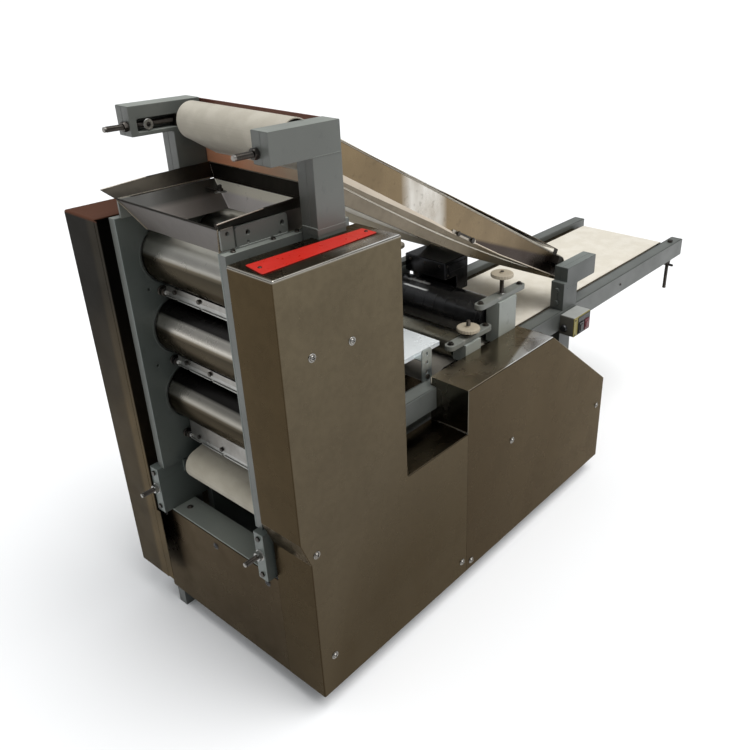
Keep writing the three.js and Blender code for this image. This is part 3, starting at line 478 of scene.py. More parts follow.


# Tones of a sheet's foot, middle and top: the darker foot is a painted floor reflection.
BROWN = ((0.046, 0.034, 0.020), (0.085, 0.068, 0.045), (0.118, 0.096, 0.062))
DULL = ((0.035, 0.024, 0.014), (0.062, 0.047, 0.030), (0.085, 0.066, 0.042))
DARK_FOOTED_TONES = ((0.018, 0.012, 0.007), (0.05, 0.036, 0.023), BROWN[1])
TAN = ((0.075, 0.06, 0.04), (0.11, 0.095, 0.07), (0.20, 0.17, 0.13))
# The lids' edge tones: a painted highlight for the near head cover and the rear covers, dark red for the far
# cover.
LID_EDGE_HIGHLIGHT, RED_LID = (0.40, 0.38, 0.34), (0.085, 0.038, 0.024)
# Painted shade on the near head cover's front faces, and painted light on the rear covers' front faces.
FRONT_SHADE, NOTCH_LIGHT = (0.44, 0.38, 0.30), (3.2, 3.9, 4.8)
# Painted shade on the rollers' undersides, and the hopper rim's dark tone.
ROLLER_UNDERSIDE_SHADE, DARK_RIM = (0.055, 0.05, 0.042), (0.034, 0.03, 0.024)
looks = {
    "cover": sheet_steel("cover steel", BROWN, 0.24, UPRIGHT, LID_EDGE_HIGHLIGHT, FRONT_SHADE),
    "far_cover": shaded_far_steel("far cover steel", (0.021, 0.019, 0.016), (0.070, 0.055, 0.035)),
    "rear_cover": sheet_steel("rear cover steel", DULL, 0.24, UPRIGHT, LID_EDGE_HIGHLIGHT, NOTCH_LIGHT),
    "panel": sheet_steel("front panel steel", DARK_FOOTED_TONES, 0.3, UPRIGHT),
    # The last tone multiplies the rollers' tops as painted shade, darker on the lower two levels than on the
    # upper one.
    "roller": ground_steel("ground steel", (0.64, 0.61, 0.55), 0.28, (0.05, 0.05, 0.055)),
    "upper_roller": ground_steel("upper ground steel", (0.66, 0.64, 0.58), 0.28, (0.7, 0.7, 0.68)),
    "shaft": plain_steel("shaft steel", (0.30, 0.29, 0.27), 0.28, ALONG, (0.13, 0.11, 0.09)),
    "hopper": hopper_steel(),
    "ear": paint("ear enamel", (0.13, 0.135, 0.12), 0.42, (0.07, 0.07, 0.06)),
    "dark_hopper": plain_steel("hopper rim steel", DARK_RIM, 0.42, ACROSS, (0.022, 0.019, 0.015)),
    "golden": tray_steel(),
    "skirt": sheet_steel("tray skirt steel", TAN, 0.3, ALONG),
    "copper": rear_plate_steel(),
    # Pale tones that paint light: the guide plate's reflection, the far skirt's lit inner face, and a
    # highlight along the skirts' lips.
    "bright": bright_sheet("guide steel", (0.93, 0.98, 1.0), 0.22),
    "far_skirt": bright_sheet("far skirt steel", (0.62, 0.57, 0.48), 0.5),
    "lip": bright_sheet("skirt lip", (0.58, 0.50, 0.40), 0.35),
    "dull_steel": plain_steel("dull steel", (0.20, 0.19, 0.15), 0.28, ACROSS, (0.12, 0.11, 0.09)),
    # Pale steel for weld seams, and for rods that paint highlights along edges and folds.
    "seam": plain_steel("seam steel and painted edge highlight", (0.42, 0.38, 0.32), 0.3, ALONG, (0.3, 0.27, 0.23)),
    "zinc": plain_steel("zinc plated steel", (0.42, 0.42, 0.40), 0.35, ALONG, (0.25, 0.24, 0.22)),
    "bolt": plain_steel("blackened steel", (0.06, 0.055, 0.05), 0.35, ALONG, (0.12, 0.10, 0.08)),
    "iron": plain_steel("oiled iron", (0.10, 0.10, 0.10), 0.4, ALONG, (0.05, 0.045, 0.04)),
    "guide_arm": plain_steel("galvanised strip", (0.50, 0.54, 0.53), 0.4, UPRIGHT, (0.35, 0.37, 0.36)),
    # The paints' last numbers are painted light: a factor on faces that face up, and one on faces towards the
    # front.
    "grey": paint("grey enamel", (0.098, 0.104, 0.093), 0.42, (0.055, 0.06, 0.055), 2.7),
    # A darker copy of the grey enamel that paints the shade on the plates' inner faces, with painted light on
    # its front faces.
    "plate_grey_shaded": paint("shaded side plate enamel", (0.050, 0.058, 0.052), 0.42, (0.03, 0.033, 0.03), 1.9, 2.4),
    "low_grey": paint("low arm enamel", (0.052, 0.057, 0.052), 0.42, (0.035, 0.038, 0.035), 3.0, 1.2),
    "rail_grey": paint("rail enamel", (0.076, 0.081, 0.074), 0.42, (0.05, 0.055, 0.05), 1.4),
    "block_grey": paint("block enamel", (0.22, 0.235, 0.215), 0.42, (0.11, 0.12, 0.11), 1.5),
    "clamp_grey": paint("worn clamp enamel", (0.13, 0.135, 0.12), 0.42, (0.30, 0.29, 0.26), 1.3),
    "worn_edge": paint("worn enamel edge", (0.26, 0.285, 0.265), 0.4, (0.16, 0.17, 0.16)),
    "dark": paint("dark grey enamel", (0.12, 0.13, 0.115), 0.4, (0.2, 0.2, 0.19), 1.25),
    "black": plain_steel("black coating", (0.026, 0.026, 0.028), 0.16, ACROSS, (0.04, 0.04, 0.042)),
    "black_roller": black_roller(),
    # The return belt's last tone is painted light on its underside; the other belts' spans are painted
    # shadow.
    "return_canvas": cloth("return belt canvas", (0.46, 0.42, 0.34), (0.62, 0.58, 0.49), (0.95, 0.90, 0.80)),
    "canvas": cloth("woven canvas", (0.66, 0.61, 0.51), (0.80, 0.76, 0.68), shadow_span=(740, 690)),
    "worn_canvas": cloth("worn canvas", (0.38, 0.345, 0.27), (0.52, 0.48, 0.39), shadow_span=(400, 470)),
    "beige": plastic("beige plastic", (0.36, 0.31, 0.23), 0.55),
    "yellow": plastic("yellow plastic", (0.20, 0.165, 0.03), 0.35),
    "casing": plastic("dark grey plastic", (0.095, 0.09, 0.075), 0.4),
    "lid": plastic("light grey plastic", (0.32, 0.325, 0.305), 0.4),
    "black_plastic": plastic("black plastic", (0.012, 0.012, 0.013), 0.3),
    "red_plastic": plastic("red plastic", (0.10, 0.01, 0.016), 0.3),
    "red": plastic("red enamel plate", (0.52, 0.02, 0.012), 0.3),
}
slot_looks = {
    "stainless": "cover",
    "roller_steel": "roller",
    "grey_paint": "grey",
    "dark_paint": "dark",
    "black_coat": "black",
    "canvas": "canvas",
    "beige_plastic": "beige",
    "iron": "iron",
    "bolt": "bolt",
    "yellow_plastic": "yellow",
    "black_plastic": "black_plastic",
    "red_plastic": "red_plastic",
}
own_looks = {
    "base_frame": "low_grey",
    "return_tray": "golden",
    "hopper": "hopper",
    "front_panel": "panel",
    "guide_plate": "bright",
}


# Shapes: points and faces in millimetres.
class Shape:
    def __init__(self, points, faces):
        self.points = [Vector(p) for p in points]
        self.faces = faces

    def turned(self, axis, degrees, about=(0, 0, 0)):
        centre = Vector(about)
        turn = Matrix.Rotation(math.radians(degrees), 3, axis)
        return Shape([centre + turn @ (p - centre) for p in self.points], self.faces)

    def mirrored(self):
        return Shape([Vector((p.x, -p.y, p.z)) for p in self.points], self.faces)

    def on(self, side):
        """The shape as drawn for the far side, or its mirror image on the near side."""
        return self if side == FAR else self.mirrored()

    def placed(self, origin, u, v):
        """The shape with its own X, Y and Z laid along u, v and their normal, from an origin."""
        along, up = Vector(u).normalized(), Vector(v).normalized()
        out = along.cross(up)
        return Shape([Vector(origin) + along * p.x + up * p.y + out * p.z for p in self.points], self.faces)


AXES = {"X": (1, 2, 0), "Y": (0, 2, 1), "Z": (0, 1, 2)}


def spatial(u, v, w, axis):
    """A point from two coordinates across an axis and one along it."""
    point = [0.0, 0.0, 0.0]
    for value, index in zip((u, v, w), AXES[axis]):
        point[index] = value
    return point


def area(outline):
    pairs = zip(outline, outline[1:] + outline[:1])
    return sum(a[0] * b[1] - a[1] * b[0] for a, b in pairs) / 2


def counter_clockwise(outline):
    return list(outline) if area(list(outline)) > 0 else list(reversed(outline))


def inset(outline, depth):
    """A counter-clockwise outline with every edge moved inwards; depth is one number, or one per edge."""
    count = len(outline)
    depths = depth if isinstance(depth, list) else [depth] * count
    lines = []
    for i in range(count):
        a, b = Vector(outline[i]), Vector(outline[(i + 1) % count])
        run = (b - a).normalized()
        lines.append((a + Vector((-run.y, run.x)) * depths[i], run))
    result = []
    for i in range(count):
        (p, d), (q, e) = lines[i - 1], lines[i]
        cross = d.x * e.y - d.y * e.x
        if abs(cross) < 1e-5:
            result.append(q)
        else:
            gap = q - p
            result.append(p + d * ((gap.x * e.y - gap.y * e.x) / cross))
    return [(p.x, p.y) for p in result]


def rounded(corners, radius, steps=5):
    """An outline with its corners rounded; a corner may hold a third number, its own radius."""
    result = []
    for i, here in enumerate(corners):
        before, after = corners[i - 1], corners[(i + 1) % len(corners)]
        own = here[2] if len(here) > 2 else radius
        p = Vector(here[:2])
        u, v = Vector(before[:2]) - p, Vector(after[:2]) - p
        half = u.angle(v) / 2
        if own <= 0 or half > math.radians(89.5):
            result.append((p.x, p.y))
            continue
        reach = min(own / math.tan(half), 0.49 * u.length, 0.49 * v.length)
        size = reach * math.tan(half)
        u.normalize()
        v.normalize()
        centre = p + (u + v).normalized() * (size / math.sin(half))
        first, last = p + u * reach - centre, p + v * reach - centre
        start = math.atan2(first.y, first.x)
        sweep = math.atan2(last.y, last.x) - start
        sweep = (sweep + math.pi) % (2 * math.pi) - math.pi
        result += [polar(centre.x, centre.y, size, start + sweep * k / steps) for k in range(steps + 1)]
    return result


def polar(u, v, radius, turn):
    return u + radius * math.cos(turn), v + radius * math.sin(turn)


def turns(count):
    return [2 * math.pi * k / count for k in range(count)]


def circle(u, v, radius, count=32):
    return [polar(u, v, radius, turn) for turn in turns(count)]


def bands(count, rows, closed=False):
    """Faces between rows of count points each; closed joins the last row to the first."""
    faces = []
    for k in range(rows if closed else rows - 1):
        a, b = k * count, (k + 1) % rows * count
        faces += [(a + i, a + (i + 1) % count, b + (i + 1) % count, b + i) for i in range(count)]
    return faces


def tube(count, rows):
    """Faces between rows of count points each, with both ends closed."""
    return bands(count, rows) + [tuple(range(count)), tuple(range((rows - 1) * count, rows * count))]


def directions(run):
    """A run's direction, and two more that are square to it and to each other."""
    ahead = run.normalized()
    side = ahead.orthogonal().normalized()
    return ahead, side, ahead.cross(side)


def ring(middle, side, over, radius, swell, count):
    return [middle + (side * u + over * v) * radius * swell for u, v in circle(0, 0, 1, count)]


def rectangle(u0, u1, v0, v1):
    return [(u0, v0), (u1, v0), (u1, v1), (u0, v1)]


def slab(outline, low, high, axis="Z", bevel=0.8, holes=(), steps=2):
    """An outline drawn out along an axis, with rounded edges and holes through it."""
    low, high = min(low, high), max(low, high)
    bevel = min(bevel, 0.49 * (high - low))
    outer = counter_clockwise(outline)
    inner = [list(reversed(counter_clockwise(hole))) for hole in holes]
    quarter = [math.pi / 2 * k / steps for k in range(steps + 1)]
    rows = [(bevel * (1 - math.sin(t)), low + bevel * (1 - math.cos(t))) for t in quarter]
    rows += [(depth, low + high - w) for depth, w in reversed(rows)]
    points, faces = [], []
    sizes = [len(outer)] + [len(hole) for hole in inner]
    total = sum(sizes)
    flats = []
    for depth, w in rows:
        loops = [inset(outer, depth)] + [inset(hole, depth) for hole in inner]
        flats.append(loops)
        for loop in loops:
            points += [spatial(u, v, w, axis) for u, v in loop]
    for row in range(len(rows) - 1):
        start = row * total
        for size in sizes:
            for i in range(size):
                j = (i + 1) % size
                faces.append((start + i, start + j, start + total + j, start + total + i))
            start += size
    for row in (0, len(rows) - 1):
        loops = [[Vector((u, v, 0)) for u, v in loop] for loop in flats[row]]
        base = row * total
        if len(loops) == 1 and len(outer) <= 4:
            faces.append(tuple(base + i for i in range(len(outer))))
        else:
            faces += [tuple(base + i for i in face) for face in tessellate_polygon(loops)]
    return Shape(points, faces)


def box(x0, x1, y0, y1, z0, z1, bevel=0.8):
    return slab(rectangle(x0, x1, y0, y1), z0, z1, "Z", bevel)


def lathe(profile, axis, u, v, count=64):
    """A profile of (place along the axis, radius) turned round the axis at u, v."""
    points, faces, rows = [], [], []
    for w, radius in profile:
        if radius <= 0:
            rows.append([len(points)])
            points.append(spatial(u, v, w, axis))
            continue
        rows.append(list(range(len(points), len(points) + count)))
        points += [spatial(a, b, w, axis) for a, b in circle(u, v, radius, count)]
    for a, b in zip(rows, rows[1:]):
        for i in range(count):
            j = (i + 1) % count
            if len(a) == 1:
                faces.append((a[0], b[j], b[i]))
            elif len(b) == 1:
                faces.append((a[i], a[j], b[0]))
            else:
                faces.append((a[i], a[j], b[j], b[i]))
    for row in (rows[0], rows[-1]):
        if len(row) > 1:
            faces.append(tuple(row))
    return Shape(points, faces)


def rod(start, end, radius, count=14):
    """A round rod between two points, with its ends rounded off."""
    a, b = Vector(start), Vector(end)
    ahead, side, over = directions(b - a)
    length = (b - a).length
    rows = [(0, 0.5), (0.35 * radius, 0.9), (0.8 * radius, 1), (length / 2, 1)]
    rows += [(length - w, size) for w, size in reversed(rows[:3])]
    points = []
    for w, size in rows:
        points += ring(a + ahead * w, side, over, radius, size, count)
    return Shape(points, tube(count, len(rows)))


def thick(grid, thickness):
    """A sheet of a thickness along a grid of points, laid out by rows."""
    rows, columns = len(grid), len(grid[0])
    normals = []
    for i in range(rows):
        for j in range(columns):
            down = Vector(grid[min(i + 1, rows - 1)][j]) - Vector(grid[max(i - 1, 0)][j])
            across = Vector(grid[i][min(j + 1, columns - 1)]) - Vector(grid[i][max(j - 1, 0)])
            normals.append(down.cross(across).normalized())
    flat = [Vector(p) for row in grid for p in row]
    count = len(flat)
    points = [p + n * thickness / 2 for p, n in zip(flat, normals)]
    points += [p - n * thickness / 2 for p, n in zip(flat, normals)]
    faces = []
    for i in range(rows - 1):
        for j in range(columns - 1):
            a = i * columns + j
            face = (a, a + 1, a + columns + 1, a + columns)
            faces += [face, tuple(count + k for k in reversed(face))]
    border = list(range(columns)) + [i * columns + columns - 1 for i in range(1, rows)]
    border += [(rows - 1) * columns + j for j in range(columns - 2, -1, -1)]
    border += [i * columns for i in range(rows - 2, 0, -1)]
    for a, b in zip(border, border[1:] + border[:1]):
        faces.append((a, b, count + b, count + a))
    return Shape(points, faces)


def loft(rings):
    """A closed loop of rings, each with the same number of points."""
    points = [Vector(p) for loop in rings for p in loop]
    return Shape(points, bands(len(rings[0]), len(rings), closed=True))


def shaft(low, high, radius, axis, u, v, chamfer=1.0, count=40):
    profile = [(low, 0), (low, radius - chamfer), (low + chamfer, radius), (high - chamfer, radius)]
    return lathe(profile + [(high, radius - chamfer), (high, 0)], axis, u, v, count)


def washer(low, high, outer, inner, axis, u, v, bevel=0.4, count=40):
    profile = [(low, inner), (low, outer - bevel), (low + bevel, outer), (high - bevel, outer)]
    profile += [(high, outer - bevel), (high, inner)]
    points = []
    for w, radius in profile:
        points += [spatial(a, b, w, axis) for a, b in circle(u, v, radius, count)]
    return Shape(points, bands(count, len(profile), closed=True))


def threaded(low, high, radius, axis, u, v, pitch=1.75, depth=0.9, count=20):
    """A rod with a screw thread."""
    stops = max(4, int(4 * (high - low) / pitch))
    points = []
    for k in range(stops + 1):
        w = low + (high - low) * k / stops
        taper = min(1.0, 1.5 * k / 4, 1.5 * (stops - k) / 4)
        for i, turn in enumerate(turns(count)):
            phase = ((w - low) / pitch - i / count) % 1
            size = (radius - depth * abs(2 * phase - 1)) * (0.82 + 0.18 * taper)
            points.append(spatial(*polar(u, v, size, turn), w, axis))
    return Shape(points, tube(count, stops + 1))


def hexagon(low, high, flats, axis, u, v, count=48):
    """A hexagon nut or head, chamfered at both ends; flats is the width across them."""
    half = flats / 2
    fall = 0.22 * half
    rows = [(low, False), (low + fall, True), (high - fall, True), (high, False)]
    points = []
    for w, full in rows:
        for turn in turns(count):
            size = half / math.cos(turn % (math.pi / 3) - math.pi / 6)
            radius = size if full else min(size, half * 1.01)
            points.append(spatial(*polar(u, v, radius, turn), w, axis))
    return Shape(points, tube(count, len(rows)))


def screw_head(radius, height, axis, u, v, base, outward):
    """A domed screw head with a cross in it, standing out from its base."""
    count, rings = 48, 9
    points = []
    for k in range(rings + 1):
        reach = 1 - k / rings
        for turn in turns(count):
            a, b = reach * radius * math.cos(turn), reach * radius * math.sin(turn)
            rise = height * math.sqrt(max(0.0, 1 - reach**2.6))
            if min(abs(a), abs(b)) < 0.13 * radius and reach < 0.62:
                rise -= 0.45 * height
            points.append(spatial(u + a, v + b, base + outward * max(rise, 0), axis))
    faces = bands(count, rings + 1)
    foot = len(points)
    points += [spatial(a, b, base - outward * 0.6, axis) for a, b in circle(u, v, radius, count)]
    faces += [(i, (i + 1) % count, foot + (i + 1) % count, foot + i) for i in range(count)]
    return Shape(points, faces + [tuple(range(foot, foot + count))])


def bead(start, end, size, seed=0, count=8):
    """A weld bead: a lumpy round run from start to end."""
    a, b = Vector(start), Vector(end)
    run = b - a
    steps = max(3, int(run.length / (0.9 * size)))
    _, side, over = directions(run)
    points = []
    for k in range(steps + 1):
        swell = 1 + 0.16 * math.sin(2.7 * k + seed) + 0.12 * math.sin(5.1 * k + 2 * seed)
        swell *= 0.35 if k in (0, steps) else 1
        points += ring(a + run * k / steps, side, over, size, swell, count)
    return Shape(points, tube(count, steps + 1))


# Pieces: shapes with looks, joined into one object that stands for CAD nodes.
SHARP = math.radians(32)
SOFT_EDGE = 1.0


class Piece:
    def __init__(self, name):
        self.name = name
        self.mesh = bmesh.new()
        self.looks = []

    def add(self, look, *shapes):
        if look not in self.looks:
            self.looks.append(look)
        index = self.looks.index(look)
        for shape in shapes:
            verts = [self.mesh.verts.new(at(*p)) for p in shape.points]
            for face in shape.faces:
                made = self.mesh.faces.new([verts[i] for i in face])
                made.material_index = index
                made.smooth = True
        return self

    def finish(self, *stands_for, slot=None, body=None):
        bmesh.ops.recalc_face_normals(self.mesh, faces=self.mesh.faces)
        data = bpy.data.meshes.new(self.name)
        self.mesh.to_mesh(data)
        self.mesh.free()
        for look in self.looks:
            data.materials.append(looks[look])
        return settle(data, self.name, stands_for, body)


def settle(data, name, stands_for, body=None):
    """Puts a mesh into the scene on its body, in place of its CAD nodes."""
    data.set_sharp_from_angle(angle=SHARP)
    made = bpy.data.objects.new(name, data)
    bpy.context.scene.collection.objects.link(made)
    weighted = made.modifiers.new("weighted", "WEIGHTED_NORMAL")
    weighted.keep_sharp = True
    first = stands_for[0] if stands_for else None
    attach(made, body or nodes[first]["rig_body"])
    if stands_for:
        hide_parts(*stands_for)
        done.update(stands_for)
    return made


def softened(node, look):
    """A CAD node's own form with rounded edges."""
    mesh = bmesh.new()
    mesh.from_mesh(nodes[node].data)
    bmesh.ops.remove_doubles(mesh, verts=mesh.verts, dist=2e-6)
    bmesh.ops.dissolve_limit(mesh, angle_limit=math.radians(1), verts=mesh.verts, edges=mesh.edges)
    sharp = [e for e in mesh.edges if len(e.link_faces) == 2 and e.calc_face_angle(0) > SHARP]
    soft = {"offset": SOFT_EDGE * MM, "segments": 2, "profile": 0.7}
    bmesh.ops.bevel(mesh, geom=sharp, affect="EDGES", clamp_overlap=True, **soft)
    for face in mesh.faces:
        face.smooth = True
        face.material_index = 0
    bmesh.ops.recalc_face_normals(mesh, faces=mesh.faces)
    data = bpy.data.meshes.new(node + "_body")
    mesh.to_mesh(data)
    mesh.free()
    data.materials.append(looks[look])
    settle(data, node + "_body", (node,))


# Head: plates, rollers and scrapers.
ROLLER_XS = (107, 245)
BORE, ON_RAIL, ON_HEAD = 10.6, 533.3, 1005.3
LEVELS = {"lower": 573, "middle": 741, "upper": 909}
ROLLER_RADIUS, ROLLER_HALF = 68, 170
PLATE_IN, PLATE_OUT, RECESS = 167, 189, 172
GEAR_IN, GEAR_OUT, GEAR_PITCH, TEETH = 194, 212, 69, 28
SCRAPER_TOPS = {"lower": 477, "middle": 671, "upper": 839}
SCRAPER_SCREWS = (-88, 26, 110)
# A gear tooth's corners: share of a tooth round the gear, and of its depth from the pitch circle.
TOOTH = ((-0.29, -0.62), (-0.24, -0.2), (-0.13, 0.45), (0.13, 0.45), (0.24, -0.2), (0.29, -0.62))


def head_plate(side_name):
    side = SIDES[side_name]
    piece = Piece(side_name + "_side_plate")
    outline = [(-4, 402), (-4, 1005), (300, 1005), (300, 66.3), (110, 66.3), (110, 402)]
    centres = [(x, z) for x in ROLLER_XS for z in LEVELS.values()]
    inner_holes = [circle(x, z, 72, 72) for x, z in centres]
    small = [circle(x, z, 3.4, 20) for x, z in ((42, 840), (30, 662), (60, 960))]
    outer_holes = [circle(x, z, 20.6, 40) for x, z in centres]
    piece.add("plate_grey_shaded", slab(outline, PLATE_IN, RECESS, "Y", 0.8, inner_holes + small).on(side))
    piece.add("grey", slab(outline, RECESS - 0.05, PLATE_OUT, "Y", 0.8, outer_holes + small).on(side))
    for x, z in centres:
        edge = washer(PLATE_IN - 0.5, PLATE_IN + 0.6, 73.4, 71.6, "Y", x, z, 0.4, 96)
        piece.add("plate_grey_shaded", edge.on(side))
        piece.add("shaft", washer(PLATE_OUT - 0.2, PLATE_OUT + 3, 30, 20.8, "Y", x, z).on(side))
        collar = washer(RECESS - 0.4, RECESS + 2.5, 33, 20.8, "Y", x, z, 0.6)
        piece.add("bolt", collar.on(side))
    upright = [(38, 1004), (158, 1004), (158, 1044.5, 6), (38, 1044.5, 6)]
    holes = [circle(x, z, 5, 24) for x, z in ((65, 1029), (145, 1028))]
    holes += [circle(137, 1010, 3, 20), circle(64, 1012, 3, 20)]
    piece.add("grey", slab(rounded(upright, 0), 163.6, 169.6, "Y", 0.8, holes).on(side))
    piece.add("grey", bead((40, 170.5, 1005.6), (156, 170.5, 1005.6), 2.2).on(side))
    for x in (20, 112, 170):
        stud, nut = shaft(1005, 1007.5, 5, "Z", x, 180), hexagon(1007, 1010, 8, "Z", x, 180)
        piece.add("bolt", stud.on(side), nut.on(side))
    for level in LEVELS:
        z = SCRAPER_TOPS[level] - 9
        piece.add("bolt", washer(PLATE_IN - 4, PLATE_IN + 0.6, 11, 6.6, "Y", 71, z, 0.8).on(side))
    piece.finish(side_name + "_head_plate")


def tooth_outline(x, z, pitch_radius, teeth, depth):
    points = []
    for k in range(teeth):
        for share_round, rise in TOOTH:
            turn = 2 * math.pi / teeth * (k + share_round)
            points.append(polar(x, z, pitch_radius + rise * depth, turn))
    return points


def sheeting_roller(level, which, x):
    """A roller with its stepped shaft and gear, and a second, smaller gear on each front roller."""
    z = LEVELS[level]
    node = level + "_" + which + "_roller"
    piece = Piece(node + "_turned")
    half, radius = ROLLER_HALF, ROLLER_RADIUS
    ends = [(-half, 0), (-half, radius - 9), (-half + 1.2, radius - 7), (-half + 1.2, radius - 2.5)]
    ends.append((-half + 3.7, radius))
    profile = ends + [(w, radius) for w in (-120, -60, 0, 60, 120)] + [(-w, r) for w, r in reversed(ends)]
    piece.add("upper_roller" if level == "upper" else "roller", lathe(profile, "Y", x, z, 128))
    low, high = (corner.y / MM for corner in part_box(node))
    piece.add("shaft", shaft(low, -half + 1, 20, "Y", x, z, 1.2), shaft(half - 1, high, 20, "Y", x, z, 1.2))
    for end in (-1, 1):
        step = sorted((end * (half - 0.6), end * (half + 2)))
        piece.add("shaft", washer(*step, 40, 19.5, "Y", x, z, 0.8, 64))
    bore = [circle(x, z, 19, 40)]
    gear = tooth_outline(x, z, GEAR_PITCH, TEETH, 4.6)
    piece.add("iron", slab(gear, GEAR_IN, GEAR_OUT, "Y", 0.5, bore))
    piece.add("iron", washer(GEAR_OUT - 1, GEAR_OUT + 1.5, 31, 19.5, "Y", x, z))
    if which == "front":
        piece.add("iron", slab(tooth_outline(x, z, 28, 14, 5), -253, -245, "Y", 0.6, bore))
        piece.add("iron", washer(-246, -240, 27, 19.5, "Y", x, z))
        piece.add("bolt", hexagon(-256, -253, 10, "Y", x, z))
    piece.finish(node)


def scraper(level):
    """A slotted bar across the front, a blade that stands up to the roller, and a pin each end."""
    node = level + "_scraper"
    top = SCRAPER_TOPS[level]
    bottom, middle = top - 18, top - 9
    tip = LEVELS[level] - 59.8
    piece = Piece(node + "_bar")
    slits = [rounded(rectangle(y - 11, y + 11, top - 5, top - 1.8), 1.5) for y in (-96, 20, 104)]
    piece.add("zinc", slab(rounded(rectangle(-150, 150, bottom, top), 0.8), 70.8, 74, "X", 0.6, slits))
    shelf = [(68, -150)]
    for y in SCRAPER_SCREWS:
        shelf += [(68, y - 4), (70.2, y - 4), (70.2, y + 4), (68, y + 4)]
    shelf += [(68, 150), (72.5, 150), (72.5, -150)]
    piece.add("zinc", slab(shelf, bottom, bottom + 3, "Z", 0.5))
    piece.add("shaft", slab(rectangle(-143, 143, top - 3, tip), 68, 71, "X", 0.5))
    for end in (-1, 1):
        piece.add("zinc", shaft(*sorted((end * 166.5, end * 145)), 6, "Y", 71, middle))
        piece.add("bolt", washer(*sorted((end * 158, end * 151)), 9.5, 5.5, "Y", 71, middle))
    for y in SCRAPER_SCREWS:
        piece.add("bolt", hexagon(63.5, 68.2, 9, "X", y, top + 1), shaft(66, 72, 3.4, "X", y, top + 1))
    piece.finish(node)


# Hopper.
WAIST = {"x0": 7, "x1": 240, "half": 163, "z": 1045}
MOUTH = {"x0": 36, "x1": 235, "half": 117, "z": 985}
RIM = {"x0": -10, "x1": 250, "half": 186, "z": 1073, "front": 1063}
HOPPER_SHEET = 2


def blend(low, high, share):
    return low + (high - low) * share


def hopper_ring(share, inward):
    """The hopper's outline at a share of the way from its mouth to its waist."""
    x0, x1, half, z = (blend(MOUTH[key], WAIST[key], share) for key in ("x0", "x1", "half", "z"))
    corners = rectangle(x0 + inward, x1 - inward, -(half - inward), half - inward)
    return [(x, y, z) for x, y in rounded(corners, 3, 3)]


def hopper_side(piece, side):
    """The seams, the flared rim and the ear of one side."""
    seam = [(36, 117, 985), (7, 163, 1045)]
    piece.add("skirt", bead(*[(x - 0.4, side * (y - 0.6), z) for x, y, z in seam], 1.7, side))
    piece.add("seam", bead((235, side * 117, 985), (240, side * 163, 1045), 1.7, side))
    grid = []
    for up in (k / 6 for k in range(7)):
        half = blend(WAIST["half"], RIM["half"], up) + 1.2 * math.sin(math.pi * up)
        front, rear = blend(WAIST["x0"], RIM["x0"], up), blend(WAIST["x1"], RIM["x1"], up)
        row = []
        for along in (j / 12 for j in range(13)):
            z_rim = blend(RIM["front"], RIM["z"], min(1.0, along * 1.4))
            row.append((front * (1 - along) + rear * along, side * half, blend(WAIST["z"], z_rim, up)))
        grid.append(row)
    piece.add("dark_hopper", thick(grid, HOPPER_SHEET))
    # The rim's front part is in pale seam steel, a painted highlight; the rest is dark.
    piece.add("seam", rod((-10, side * 186, 1063), (92, side * 186, 1069.5), 1.3))
    piece.add("dark_hopper", rod((92, side * 186, 1069.5), (250, side * 186, 1073), 1.3))
    piece.add("seam", bead((9, side * 163, 1045.5), (236, side * 163, 1045.5), 1.3, 2))
    ear = rounded(rectangle(8, 37, ON_HEAD, 1044.6), 2)
    piece.add("ear", slab(ear, 161, 166, "Y", 0.7, [circle(23, 1035, 4.2, 24)]).on(side))
    piece.add("seam", bead((9, side * 166, 1045), (36, side * 166, 1045), 1.6, 1))


def hopper():
    piece = Piece("hopper_sheet")
    shares = (0, 0.3, 0.6, 0.97)
    outer = [hopper_ring(value, 0) for value in shares]
    inner = [hopper_ring(value, HOPPER_SHEET) for value in reversed(shares)]
    piece.add("hopper", loft(outer + inner))
    piece.add("dark_hopper", rod((7.5, -162, 1045), (7.5, 162, 1045), 2.1))
    piece.add("dark_hopper", rod((239.2, -162, 1044.6), (239.2, 162, 1044.6), 2.6))
    for side in (NEAR, FAR):
        hopper_side(piece, side)
    grid = []
    for up in (k / 6 for k in range(7)):
        x, half, z = (blend(WAIST[key], RIM[key], up) for key in ("x1", "half", "z"))
        grid.append([(x, half * (2 * j / 12 - 1), z) for j in range(13)])
    piece.add("dark_hopper", thick(grid, HOPPER_SHEET))
    piece.add("seam", rod((250, -186, 1073), (250, 186, 1073), 1.3))
    for end in (NEAR, FAR):
        piece.add("seam", bead((240, end * 163, 1045), (250, end * 186, 1073), 1.3, 3))
    for (x, y, z), turn in (((107, -15, 1000), 15), ((205, 97, 1040), -20)):
        piece.add("zinc", box(x - 12, x + 12, y - 5, y + 5, z - 12, z - 9).turned("Z", turn, (x, y, z)))
        piece.add("bolt", hexagon(z - 9, z - 3, 12, "Z", x, y), shaft(z - 4, z + 5, 4, "Z", x, y))
        piece.add("zinc", washer(z - 9.6, z - 8, 9, 4, "Z", x, y))
    piece.add("bolt", rod((107, -118, 986), (107, -15, 990), 3), rod((205, 97, 1029), (205, 146, 1029), 3))
    piece.finish("hopper")


